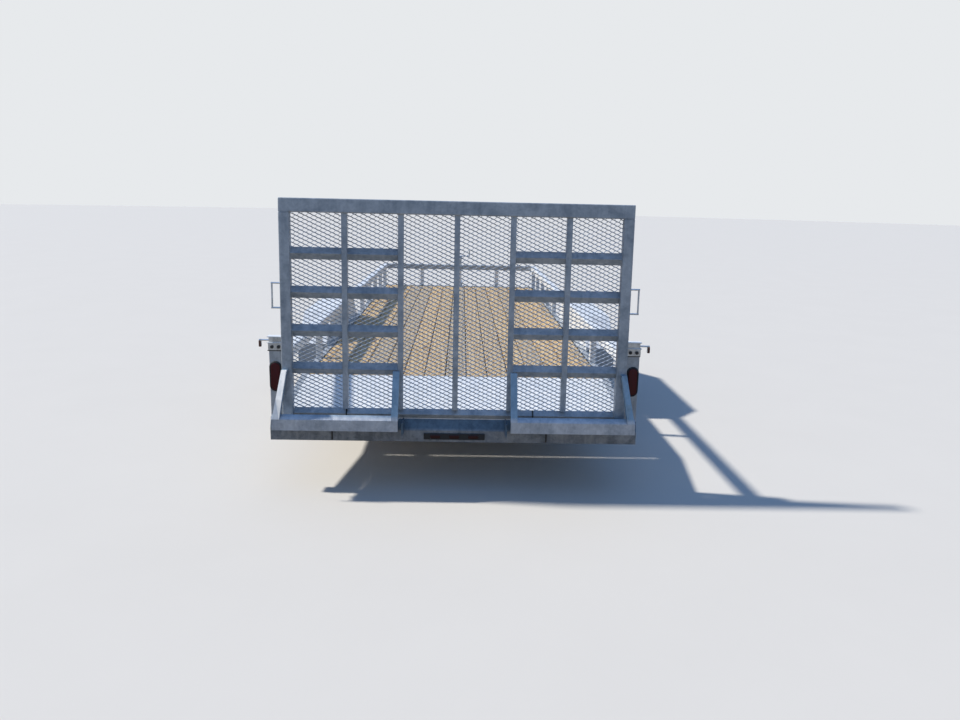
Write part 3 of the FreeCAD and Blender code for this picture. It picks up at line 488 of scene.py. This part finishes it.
def expanded_mesh():
    """Rows of strands in four pieces, by side and by slope, in place of the plain grid; the rising ones
    carry a painted sunlit highlight and the falling ones painted shade.
    """
    columns = round(2 * MESH_HALF / CELL_WIDE)
    rows = round((MESH_HIGH - MESH_LOW) / CELL_TALL)
    wide = 2 * MESH_HALF / columns
    tall = (MESH_HIGH - MESH_LOW) / rows
    shift = GATE_TURN @ Matrix.Translation((0, MESH_FORWARD, 0))
    sheets = {(side, kind): Build() for side, _ in SIDES for kind in MESH_SUNLIT_AND_SHADED}
    for row in range(2 * rows):
        z = MESH_LOW + row * tall / 2
        for col in range(2 * columns):
            x = -MESH_HALF + col * wide / 2
            rise = (row + col) % 2 == 0
            start = (x, z) if rise else (x, z + tall / 2)
            end = (x + wide / 2, z + tall / 2) if rise else (x + wide / 2, z)
            build = sheets["left" if col < columns else "right", "rising" if rise else "falling"]
            build.rings(strand_rings(start, end), shift, caps=False)
    for (side, kind), build in sheets.items():
        sheet = build.make(f"mesh_{kind}_{side}", MESH_SUNLIT_AND_SHADED[kind], "gate", "galvanized_steel")
        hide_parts("gate_mesh")


expanded_mesh()


# Tyres

TYRE_RADIUS = 343 * MM
TREAD_BLOCKS = 58
GROOVES_AT, GROOVE_DEEP = (-46 * MM, -16 * MM, 16 * MM, 46 * MM), 8 * MM
# half a groove's width, and its floor's share of that
GROOVE_HALF, GROOVE_FLOOR = 4 * MM, 0.7
# where the shoulder is, and how much lower the crown is there
SHOULDER_AT, CROWN_FALL = 55 * MM, 1.1 * MM
# where the cross cuts of the shoulders and of the ribs lie, across from the middle
SHOULDER_CUT, RIB_CUT = (50 * MM, 84.5 * MM), (19 * MM, 43 * MM)
# how much deeper than a groove a shoulder's cut is, and a rib's cut as a share of a groove
SHOULDER_EXTRA, RIB_SHARE = 1.5 * MM, 0.6
# how far the cross cuts lean at the shoulder, in blocks, and how far out they go on leaning
CUT_LEAN, LEAN_END = 0.30, 90 * MM
# along one block as a share of its length, and whether the cross cut is at its floor there
BLOCK_STOPS = ((0.0, False), (0.035, True), (0.15, True), (0.185, False), (0.55, False))

# across from the middle and radius, from the bead to the shoulder, in millimetres
SIDEWALL = ((64, 190.5), (66, 196), (72.5, 203.5), (80, 208), (88, 222), (89.5, 222.5), (92, 229), (97, 243),
            (100.5, 258), (102.3, 272), (102.5, 281), (102, 290), (100.8, 291), (99.8, 300), (98.5, 301),
            (96.8, 309), (94.5, 318), (90.5, 327), (84, 335.5))
# the tread's crown: across and how much lower than its middle
CROWN = ((76, 4.2), (66, 2.2), (55, 1.3))


def tread_profile():
    """Points across the tread: across, radius and whether a groove's floor is there."""
    crown = [(x * MM, TYRE_RADIUS - drop * MM, False) for x, drop in CROWN]
    points = [(-x, radius, floor) for x, radius, floor in crown]
    for at in GROOVES_AT:
        top = TYRE_RADIUS - CROWN_FALL * (at / SHOULDER_AT) ** 2
        half = GROOVE_HALF * GROOVE_FLOOR
        points += [(at - GROOVE_HALF, top, False), (at - half, top - GROOVE_DEEP, True),
                   (at + half, top - GROOVE_DEEP, True), (at + GROOVE_HALF, top, False)]
    return points + crown[::-1]


def tyre_rings():
    """The whole section turned round the axle, with cross cuts in the shoulders and centre ribs."""
    side = [(x * MM, radius * MM, False) for x, radius in SIDEWALL]
    section = [(-x, radius, floor) for x, radius, floor in side] + tread_profile() + side[::-1]
    rings = []
    for block in range(TREAD_BLOCKS):
        for share, cut in BLOCK_STOPS:
            ring = []
            for x, radius, floor in section:
                lean = CUT_LEAN * max(-LEAN_END, min(LEAN_END, x)) / SHOULDER_AT
                turn = 2 * math.pi * (block + share + lean) / TREAD_BLOCKS
                low = radius
                if cut and not floor and SHOULDER_CUT[0] < abs(x) < SHOULDER_CUT[1]:
                    low = min(radius, TYRE_RADIUS - GROOVE_DEEP - SHOULDER_EXTRA)
                elif cut and not floor and RIB_CUT[0] < abs(x) < RIB_CUT[1]:
                    low = radius - GROOVE_DEEP * RIB_SHARE
                ring.append((x, low * math.cos(turn), low * math.sin(turn)))
            rings.append(ring)
    return rings + rings[:1]


TYRE_RINGS = tyre_rings()


def tyres():
    """The four tyres with their tread, in place of the plain ones."""
    for wheel, body, centre, sign in wheels():
        build = Build()
        matrix = Matrix.Translation(centre) @ Matrix.Rotation(0 if sign > 0 else math.pi, 4, "Z")
        build.rings(TYRE_RINGS, matrix, caps=False)
        thing = build.make(f"tyre_{wheel}_rubber", RUBBER, body, "tyre_rubber", 32)
        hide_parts(f"tyre_{wheel}")


tyres()


# Lug nuts, rim lips and valve stems

DISC_FACE = 35 * MM
RIM_SIDES = 96
# the rolled edge of a rim: across from the middle and radius, in millimetres
RIM_LIP = ((84, 190), (84, 182.5), (87.2, 182), (89.6, 184.5), (90.6, 189), (91.5, 194.5), (94, 197.5),
           (94.2, 200.5), (91.6, 202.2), (88.8, 200.5), (87.6, 195.5), (87.4, 190))
NUT_COUNT, NUT_CIRCLE = 5, 57.15 * MM
NUT_WIDE, NUT_TALL, NUT_CHAMFER = 21 * MM, 20 * MM, 3 * MM
# a valve stem's foot and tip: out from the wheel's middle and up
STEM_FOOT, STEM_TIP = (52 * MM, 184 * MM), (74 * MM, 168 * MM)
# along the stem as a share, and its radius there in millimetres
STEM = ((0, 6), (0.3, 5.2), (0.62, 4.6), (0.66, 5.2), (1, 4.4))


def nut_rings(across, tall):
    """A hexagon nut with a chamfered crown, about +Z."""
    corner = across / math.sqrt(3)
    return [circle(corner * 0.78, 6), circle(corner, 6, NUT_CHAMFER), circle(corner, 6, tall - NUT_CHAMFER),
            circle(corner * 0.8, 6, tall - 0.6 * MM), circle(corner * 0.5, 6, tall)]


def wheel_trim():
    """Five nuts, two rolled rim edges and a valve stem on each wheel."""
    for wheel, body, centre, sign in wheels():
        disc = Matrix.Translation(centre + Vector((sign * DISC_FACE, 0, 0)))
        face = disc @ Matrix.Rotation(sign * math.pi / 2, 4, "Y")
        nuts = Build()
        for index in range(NUT_COUNT):
            turn = Matrix.Rotation(2 * math.pi * index / NUT_COUNT, 4, "Z")
            spot = face @ turn @ Matrix.Translation((NUT_CIRCLE, 0, 0))
            nuts.rings(nut_rings(NUT_WIDE, NUT_TALL), spot)
        nuts.make(f"lug_nuts_{wheel}", ZINC, body, "zinc_bright", 30)
        lips = Build()
        for face_sign in (-1, 1):
            about = Matrix.Translation(centre) @ Matrix.Rotation(face_sign * math.pi / 2, 4, "Y")
            loops = [circle(radius * MM, RIM_SIDES, across * MM) for across, radius in RIM_LIP]
            lips.rings(loops, about, caps=False)
        lips.make(f"rim_lips_{wheel}", SILVER, body, "rim_silver", 40)
        stem = Build()
        foot, tip = (Vector((sign * out, 0, up)) for out, up in (STEM_FOOT, STEM_TIP))
        path = [centre + foot.lerp(tip, share) for share, _ in STEM]
        stem.tube(path, [radius * MM for _, radius in STEM], 12)
        stem.make(f"valve_stem_{wheel}", RUBBER, body, "tyre_rubber", 40)


wheel_trim()


# Lamps

LAMP_X, LAMP_Z = 1044 * MM, 685 * MM
LAMP_WIDE, LAMP_TALL = 72 * MM, 180 * MM
# how far in from the outline and how far back from the post, in millimetres
GROMMET = ((0, 0), (0, 5), (2.5, 8.5), (6, 9.5), (8.5, 7.5), (9, 3))
LENS = ((9, 2), (9.2, 8), (10.5, 10.2), (13, 11.2), (15, 10.6), (17, 11.6), (19.5, 11.0), (22, 11.9),
        (25, 11.3), (28, 12.0))


def oval_build(stations, x):
    """An oval disc on the back of a post, its profile given by inset and depth."""
    back = box("rear_posts")[0].y - TOUCH
    build = Build()
    rings = []
    for inset, proud in stations:
        ring = oval(LAMP_WIDE - 2 * inset * MM, LAMP_TALL - 2 * inset * MM)
        rings.append([Vector((x, back - proud * MM, LAMP_Z)) + point for point in ring])
    build.rings(rings)
    return build


def lamps():
    """A red lens in a black grommet on each post, in place of the plain lamps."""
    for side, sign in SIDES:
        grommet = oval_build(GROMMET, sign * LAMP_X)
        ring = grommet.make(f"lamp_grommet_{side}", GASKET, "trailer", "lamp_black", 50)
        cover = oval_build(LENS, sign * LAMP_X)
        red = cover.make(f"lamp_lens_{side}", RED, "trailer", "lamp_red", 50)
        for part in (ring, red):
            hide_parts("tail_lamps")


lamps()


MARKERS_AT = (-112 * MM, 0, 112 * MM)
MARKER_WIDE, MARKER_TALL = 62 * MM, 22 * MM
# how far in from the outline and how far back from the bar, in millimetres
MARKER_LENS = ((0, -1), (0, 2), (2, 4), (5, 4.8), (8, 4.4))


def marker_lights():
    """Three small red lenses on the black bar."""
    low, high = box("marker_bar")
    middle = (low + high) / 2
    build = Build()
    for x in MARKERS_AT:
        rings = []
        for inset, proud in MARKER_LENS:
            wide, tall = MARKER_WIDE - 2 * inset * MM, MARKER_TALL - 2 * inset * MM
            ring = [Vector((point.z, 0, point.x)) for point in oval(tall, wide, 20)]
            rings.append([Vector((x, low.y - proud * MM, middle.z)) + point for point in ring])
        build.rings(rings)
    build.make("marker_lenses", MARKER_RED, "trailer", "lamp_red", 40)


marker_lights()


# Deck screws

SCREW_ROWS = 10
SCREW_FIRST, SCREW_PITCH = 22 * MM, 585 * MM
SCREW_ASIDE = 42 * MM
# a screw's flat head with its drive: radius and height, in millimetres
SCREW_HEAD = ((6, 0.1), (6, 0.9), (4.6, 1.5), (2.2, 1.5), (1.8, 0.4))


def deck_screws():
    """Two flat heads in each board over each cross channel."""
    top = box("deck_planks")[1].z
    channels = box("cross_channels")[0].y
    build = Build()
    head = [circle(radius * MM, 8, height * MM) for radius, height in SCREW_HEAD]
    for board in range(PLANK_COUNT):
        middle = PLANK_FIRST + (board + 0.5) * PLANK_PITCH
        for row in range(SCREW_ROWS):
            y = channels + SCREW_FIRST + row * SCREW_PITCH
            for x in (-SCREW_ASIDE, SCREW_ASIDE):
                build.rings(head, Matrix.Translation((middle + x, y, top)))
    build.make("deck_screws", ZINC, "trailer", "zinc_bright", 30)


deck_screws()


# Weld beads

BEAD, FINE_BEAD, WIDE_BEAD = 2.2 * MM, 1.9 * MM, 2.4 * MM
# how far a bead's middle lies from its seam, and how far before a corner it ends
BEAD_OFF, BEAD_SHORT = 0.5 * MM, 4 * MM
# how long a ripple is, and how thin a bead is between two of them
RIPPLE, RIPPLE_NECK = 2.6 * MM, 0.78


def bead(build, start, end, radius):
    """A stack of small ripples along a seam."""
    start, end = Vector(start), Vector(end)
    length = (end - start).length
    count = max(3, int(length / RIPPLE))
    path, radii = [], []
    for index in range(count + 1):
        path.append(start.lerp(end, index / count))
        radii.append(radius * (1.0 if index % 2 else RIPPLE_NECK))
    build.tube(path, radii, 6)


# the gate's frame, its uprights and its rungs, as the CAD has them
GATE_HALF, GATE_SIDE, GATE_TOP, GATE_BAR = 999 * MM, 60 * MM, 1283 * MM, 78 * MM
GATE_BACK, GATE_THICK, GATE_FOOT = 25 * MM, 50 * MM, 25 * MM
UPRIGHT, UPRIGHT_DEEP, BAY = 31 * MM, 38 * MM, 318 * MM
RUNG_COUNT, RUNG_HIGH, RUNG_PITCH, RUNG_LEG, RUNG_THICK = 4, 978 * MM, 220 * MM, 50 * MM, 3 * MM


def gate_welds():
    """Beads where the gate's uprights, rungs and side bars meet."""
    build = Build()
    front = GATE_BACK + GATE_THICK
    under = GATE_TOP - GATE_BAR
    back, z = front - UPRIGHT_DEEP, under - BEAD_OFF
    for bay in (-2, -1, 0, 1, 2):
        left, right = bay * BAY - UPRIGHT / 2, bay * BAY + UPRIGHT / 2
        bead(build, (left, back, z), (right, back, z), BEAD)
        for edge in (left, right):
            bead(build, (edge, back, z), (edge, front - BEAD_SHORT, z), BEAD)
    half = RUNG_LEG * math.sqrt(0.5)
    rung_ends = (BAY + UPRIGHT / 2, 2 * BAY - UPRIGHT / 2, 2 * BAY + UPRIGHT / 2, GATE_HALF - GATE_SIDE)
    for _, sign in SIDES:
        for x in rung_ends:
            for level in range(RUNG_COUNT):
                z = RUNG_HIGH - level * RUNG_PITCH
                heel = (sign * x, front - half + SINK, z)
                for rise in (-1, 1):
                    toe = (sign * x, front - RUNG_THICK, z + rise * (half - RUNG_THICK))
                    bead(build, heel, toe, FINE_BEAD)
    back = GATE_BACK + BEAD_OFF
    for _, sign in SIDES:
        inner, outer = sign * (GATE_HALF - GATE_SIDE), sign * (GATE_HALF - BEAD_SHORT)
        bead(build, (inner, back, under), (outer, back, under), WIDE_BEAD)
    build.verts = [GATE_TURN @ v for v in build.verts]
    build.make("gate_weld_beads", GATE_STEEL, "gate", "galvanized_steel", 60)


gate_welds()


# Pieces at the rear: dark strips in the tyre material on the gate's foot bar and on the bumper, grips on the
# pull rods

STRIP_WIDE, STRIP_PROUD = 8 * MM, 2.5 * MM
GATE_STRIPS = (-633 * MM, 460 * MM)
BUMPER_STRIPS = (-719 * MM, 544 * MM)
BUMPER_STRIP_LOW, BUMPER_STRIP_HIGH = 314 * MM, 376 * MM
FOOT_LEG = 41 * MM
# how far the pull rods lie in from the latches' outer sides
ROD_INSET = 5 * MM
# a grip: height over the rod's low end and radius, in millimetres
GRIP = ((-6, 5.5), (-4, 8), (2, 8.5), (8, 7.6), (14, 8.5), (20, 7.6), (26, 8.5), (30, 6))


def rear_dark_strips_and_grips():
    """Two strips on the foot bar, two on the bumper and a grip on each pull rod."""
    half = FOOT_LEG * math.sqrt(0.5)
    front, middle = GATE_BACK + GATE_THICK, GATE_FOOT + half
    strips = Build()
    for x in GATE_STRIPS:
        loops = []
        for edge in (x - STRIP_WIDE / 2, x + STRIP_WIDE / 2):
            loops.append([(edge, front - STRIP_PROUD, middle - half),
                          (edge, front - half - STRIP_PROUD, middle),
                          (edge, front - STRIP_PROUD, middle + half),
                          (edge, front - half + SINK, middle)])
        strips.rings(loops, GATE_TURN)
    strips.make("foot_bar_strips", RUBBER, "gate", "tyre_rubber")
    plate = box("marker_bar")[1].y
    strips = Build()
    for x in BUMPER_STRIPS:
        strips.block((x - STRIP_WIDE / 2, plate - STRIP_PROUD, BUMPER_STRIP_LOW),
                     (x + STRIP_WIDE / 2, plate + SINK, BUMPER_STRIP_HIGH))
    strips.make("bumper_strips", RUBBER, "trailer", "tyre_rubber")
    low, high = box("post_latches")
    y = (low.y + high.y) / 2
    grips = Build()
    for _, sign in SIDES:
        x = sign * (high.x - ROD_INSET)
        grips.rings([[Vector((x, y, low.z + up * MM)) + point for point in circle(radius * MM, 16)]
                     for up, radius in GRIP])
    grips.make("pull_rod_grips", GRIP_BROWN, "trailer", "tyre_rubber", 40)


rear_dark_strips_and_grips()


# Outer braces

# how far back and up the ledges reach, and how high and how deep the braces are
LEDGE_BACK, LEDGE_TOP = 60 * MM, 39 * MM
BRACE_TOP, BRACE_DEEP = 315 * MM, 22 * MM
# height, and how far the turned face stands back there at its inner edge, in millimetres
BRACE_TURN = ((39, 2.5), (150, 22), (315, 26))
# an outer brace's inner and outer edge, across from the middle, at its foot and at its head
BRACE_FOOT, BRACE_HEAD = (999 * MM, 1041 * MM), (961 * MM, 995 * MM)


def brace_faces():
    """A folded plate on the back of each outer brace, its face turned outwards.

    The left one gets the pale sheet zinc as a painted sunlit highlight, the right one the darker foot zinc
    as painted shade.
    """
    head_back = GATE_BACK - BRACE_DEEP
    for side, sign in SIDES:
        build = Build()
        loops = []
        for height, turn in BRACE_TURN:
            z = height * MM
            share = (z - LEDGE_TOP) / (BRACE_TOP - LEDGE_TOP)
            inner, outer = (sign * (foot + (head - foot) * share)
                            for foot, head in zip(BRACE_FOOT, BRACE_HEAD))
            back = -LEDGE_BACK + (head_back + LEDGE_BACK) * share
            loops.append([(inner, back - turn * MM, z), (outer, back - SINK, z),
                          (outer, back + SINK, z), (inner, back + SINK, z)])
        build.rings(loops, GATE_TURN)
        # pale zinc on the left face is a painted sunlit highlight; the darker zinc on the right is painted
        # shade
        zinc = SHEET if side == "left" else FOOT_STEEL
        build.make(f"brace_face_{side}", zinc, "gate", "galvanized_steel")


brace_faces()


# Fender ends

APRON_FOOT, APRON_TOP = 400 * MM, 559 * MM
APRON_INSET, APRON_THICK, APRON_FOLD = 1 * MM, 3 * MM, 24 * MM


def fender_aprons():
    """A plate that closes each end of a fender, under its slope, with a folded foot."""
    build = Build()
    for side, _ in SIDES:
        low, high = box(f"fender_{side}")
        x0, x1 = sorted((low.x + APRON_INSET, high.x - APRON_INSET))
        for edge, inward in ((low.y, 1), (high.y, -1)):
            y0, y1 = sorted((edge + inward * APRON_INSET, edge + inward * (APRON_INSET + APRON_THICK)))
            build.block((x0, y0, APRON_FOOT), (x1, y1, APRON_TOP))
            y0, y1 = sorted((edge + inward * APRON_INSET, edge + inward * APRON_FOLD))
            build.block((x0, y0, APRON_FOOT), (x1, y1, APRON_FOOT + APRON_THICK))
    # darker frame steel rather than the fenders' pale sheet: painted shade on these end plates
    build.make("fender_aprons", STEEL, "trailer", "galvanized_steel")


fender_aprons()


# Post tops

# a collar: its inner edge across from the middle, its size, and how far before the post's front it ends
COLLAR_INNER, COLLAR_TALL, COLLAR_THICK, FRONT_SHORT = 1004 * MM, 40 * MM, 2.5 * MM, 4 * MM
# how far above the posts the latches' two cap plates lie, their thickness and how far they stand out
CAPS_AT = (1 * MM, 36.5 * MM)
CAP_THICK, CAP_ASIDE, CAP_BACK = 4 * MM, 7 * MM, 6 * MM
# the black strip under a collar, a painted shadow gap, and how much shorter the right one is
SHADOW_STRIP_TALL, SHADOW_STRIP_BACK, SHADOW_STRIP_SHORT = 5 * MM, 3.5 * MM, 5 * MM
# the bolts: the inner one across from the middle, the outer one in from the post's side, both under its top
BOLT_INNER, BOLT_OUTER, BOLT_DOWN = 1022 * MM, 20 * MM, 20 * MM
BOLT_WIDE, BOLT_TALL = 19 * MM, 9 * MM


def post_collars():
    """A bolted plate that holds each latch to its post, a black strip under it as a painted shadow, and the
    latch's caps.
    """
    low, high = box("rear_posts")
    front, foot = high.y - FRONT_SHORT, high.z - COLLAR_TALL
    plates, bolts, caps, painted_shadows = Build(), Build(), Build(), Build()
    for _, sign in SIDES:
        left, right = sorted((sign * COLLAR_INNER, sign * (high.x + COLLAR_THICK)))
        plates.block((left, low.y - COLLAR_THICK, foot), (right, low.y + TOUCH, high.z))
        left, right = sorted((sign * COLLAR_INNER, sign * (high.x + CAP_ASIDE)))
        for up in CAPS_AT:
            caps.block((left, low.y - CAP_BACK, high.z + up), (right, front, high.z + up + CAP_THICK))
        end = right - SHADOW_STRIP_SHORT if sign > 0 else right
        # a black strip below the collar: painted shadow
        painted_shadows.block((left, low.y - SHADOW_STRIP_BACK, foot - SHADOW_STRIP_TALL), (end, low.y + TOUCH, foot))
        left, right = sorted((sign * high.x, sign * (high.x + COLLAR_THICK)))
        plates.block((left, low.y, foot), (right, front, high.z))
        for x in (BOLT_INNER, high.x - BOLT_OUTER):
            spot = Matrix.Translation((sign * x, low.y - COLLAR_THICK, high.z - BOLT_DOWN))
            bolts.rings(nut_rings(BOLT_WIDE, BOLT_TALL), spot @ Matrix.Rotation(math.pi / 2, 4, "X"))
    plates.make("post_collars", ZINC, "trailer", "zinc_bright")
    bolts.make("collar_bolts", BLACK, "trailer", "axle_black", 30)
    caps.make("latch_cap_plates", SHEET, "trailer", "galvanized_steel")
    painted_shadows.make("collar_painted_shadows", BLACK, "trailer", "axle_black")


post_collars()


# Welds at the rear

EDGE_BEAD, EDGE_BACK, EDGE_UP = 2.6 * MM, 1.5 * MM, 1 * MM
# an inner brace's two edges, and how far above the ledges the braces' beads lie
INNER_BRACE_FOOT, FOOT_BEAD_UP = (325 * MM, 363 * MM), 25 * MM


def rear_welds():
    """Beads along the tail deck's edge and at the braces."""
    low, high = box("tail_deck")
    y, z = low.y - EDGE_BACK, low.z + EDGE_UP
    build = Build()
    build.tube([(low.x, y, z), (high.x, y, z)], EDGE_BEAD, 8)
    build.make("deck_edge_bead", SHEET, "trailer", "galvanized_steel", 60)
    y, z = -LEDGE_BACK + BRACE_DEEP + SINK, LEDGE_TOP + FOOT_BEAD_UP
    feet = Build()
    for _, sign in SIDES:
        for inner, outer in (BRACE_FOOT, INNER_BRACE_FOOT):
            bead(feet, (sign * inner, y, z), (sign * outer, y, z), BEAD)
    feet.verts = [GATE_TURN @ v for v in feet.verts]
    feet.make("foot_weld_beads", GATE_STEEL, "gate", "galvanized_steel", 60)


rear_welds()


# U-bolts that hold the axles on the springs

ROD, ROD_REACH, ROD_UNDER, ROD_GAP = 6 * MM, 38 * MM, 24 * MM, 1 * MM
SPRING_WIDE = 45 * MM
ARC_STEPS = 10
# a nut under the plate: its radius and height, in millimetres, and how far under the spring it is
ROD_NUT, ROD_NUT_UNDER = ((10.5, -4), (10.5, 5), (8.5, 6)), 14 * MM
# how far a plate goes beyond the spring's sides and the rods, and its top and underside from the spring
PLATE_ASIDE, PLATE_ALONG, PLATE_TOP, PLATE_LOW = 16 * MM, 14 * MM, 1 * MM, 9 * MM


def u_bolts():
    """Two bent rods over each axle at each spring, with nuts and a plate under the spring."""
    springs_low, springs_high = box("leaf_springs")
    foot, outer = springs_low.z, springs_high.x
    inner = outer - SPRING_WIDE
    build, plates = Build(), Build()
    for end in ENDS:
        low, high = box(f"axle_{end}")
        y, z = (low.y + high.y) / 2, (low.z + high.z) / 2
        turns = [math.pi * k / ARC_STEPS for k in range(ARC_STEPS + 1)]
        arc = [(y + ROD_REACH * math.cos(turn), z + ROD_REACH * math.sin(turn)) for turn in turns]
        path = [(y + ROD_REACH, foot - ROD_UNDER), *arc, (y - ROD_REACH, foot - ROD_UNDER)]
        for _, sign in SIDES:
            for x in (inner - ROD - ROD_GAP, outer + ROD + ROD_GAP):
                build.tube([(sign * x, along, up) for along, up in path], ROD, 8)
                for along in (y - ROD_REACH, y + ROD_REACH):
                    spot = Matrix.Translation((sign * x, along, foot - ROD_NUT_UNDER))
                    build.rings([circle(radius * MM, 6, height * MM) for radius, height in ROD_NUT],
                                spot @ Matrix.Rotation(math.pi, 4, "X"))
            left, right = sorted((sign * (inner - PLATE_ASIDE), sign * (outer + PLATE_ASIDE)))
            plates.block((left, y - ROD_REACH - PLATE_ALONG, foot - PLATE_LOW),
                         (right, y + ROD_REACH + PLATE_ALONG, foot - PLATE_TOP))
    build.make("axle_u_bolts", ZINC, "trailer", "zinc_bright", 35)
    plates.make("axle_plates", BLACK, "trailer", "axle_black")


u_bolts()


# Floor, light and camera

FLOOR_RADIUS, FLOOR_SIDES = 90, 64
FLOOR_TONE, FLOOR_SPOTS = (0.70, 0.68, 0.64), 0.93
FLOOR_BOUNCE = (0.31, 0.285, 0.25)
SKY_SEEN = (0.80, 0.82, 0.84)
# how high in the dome, as the sine of its elevation, and its tone there
DOME = ((0.0, (0.45, 0.56, 0.72)), (0.2, (0.40, 0.56, 0.82)), (0.5, (0.31, 0.51, 0.90)),
        (1.0, (0.25, 0.46, 0.92)))
DOME_LEVEL = 0.48
SUN_LEVEL = 4.1
SUN_TONE = (1.0, 0.945, 0.86)
SUN_SOFT = math.radians(3)
SUN_FROM = Vector((-0.984, 0.14, 1.0))


def floor():
    """A pale floor that throws back less light than it shows."""
    mesh = bpy.data.meshes.new("floor")
    mesh.from_pydata(circle(FLOOR_RADIUS, FLOOR_SIDES), [], [tuple(range(FLOOR_SIDES))])
    thing = bpy.data.objects.new("floor", mesh)
    bpy.context.collection.objects.link(thing)
    mat, tree, shader, where = material("floor_pale")
    grain = noise(tree, where, 1.4, 5.0, 0.6)
    tone = blend_colour(tree, spread(tree, grain, 0.3, 0.7, 0.0, 0.25), FLOOR_TONE,
                        tuple(value * FLOOR_SPOTS for value in FLOOR_TONE))
    seen = tree.nodes.new("ShaderNodeLightPath").outputs["Is Camera Ray"]
    tree.links.new(blend_colour(tree, seen, FLOOR_BOUNCE, tone), shader.inputs["Base Color"])
    shader.inputs["Roughness"].default_value = 0.9
    shader.inputs["Specular IOR Level"].default_value = 0.2
    mesh.materials.append(mat)


def lights():
    """A sun from the left and a dome, pale at the horizon; the camera sees a plain pale backdrop."""
    sun = bpy.data.lights.new("sun", "SUN")
    sun.energy = SUN_LEVEL
    sun.angle = SUN_SOFT
    sun.color = SUN_TONE
    thing = bpy.data.objects.new("sun", sun)
    thing.rotation_mode = "QUATERNION"
    thing.rotation_quaternion = SUN_FROM.to_track_quat("Z", "Y")
    bpy.context.collection.objects.link(thing)
    world = bpy.data.worlds.new("studio")
    bpy.context.scene.world = world
    world.use_nodes = True
    tree = world.node_tree
    where = tree.nodes.new("ShaderNodeTexCoord").outputs["Generated"]
    height = add(tree, "ShaderNodeSeparateXYZ", Vector=where).outputs["Z"]
    colour = DOME[0][1]
    for (low, _), (high, tone) in zip(DOME, DOME[1:]):
        colour = blend_colour(tree, spread(tree, height, low, high), colour, tone)
    path = tree.nodes.new("ShaderNodeLightPath").outputs
    dome = tree.nodes["Background"]
    tree.links.new(blend_colour(tree, path["Is Camera Ray"], colour, SKY_SEEN), dome.inputs["Color"])
    full = sums(tree, "MAXIMUM", path["Is Camera Ray"], path["Is Glossy Ray"])
    tree.links.new(spread(tree, full, 0.0, 1.0, DOME_LEVEL, 1.0), dome.inputs["Strength"])


CAMERA_AT = Vector((0.0256, -7.8829, 1.7232))
CAMERA_DOWN, CAMERA_YAW, CAMERA_ROLL = math.radians(12.127), math.radians(1.572), math.radians(1.281)
SENSOR_WIDE, CLIP_END = 36, 500
IMAGE_WIDE, FOCAL_PIXELS = 960, 751.67


def camera():
    """The photograph's view from behind."""
    level = math.cos(CAMERA_DOWN)
    ahead = Vector((math.sin(CAMERA_YAW) * level, math.cos(CAMERA_YAW) * level, -math.sin(CAMERA_DOWN)))
    data = bpy.data.cameras.new("camera")
    data.sensor_width = SENSOR_WIDE
    data.lens = FOCAL_PIXELS / IMAGE_WIDE * SENSOR_WIDE
    data.clip_end = CLIP_END
    thing = bpy.data.objects.new("camera", data)
    thing.location = CAMERA_AT
    thing.rotation_mode = "QUATERNION"
    thing.rotation_quaternion = ahead.to_track_quat("-Z", "Y") @ Quaternion((0, 0, 1), CAMERA_ROLL)
    bpy.context.collection.objects.link(thing)
    bpy.context.scene.camera = thing


floor()
lights()
camera()
bpy.context.scene.view_settings.view_transform = "Standard"
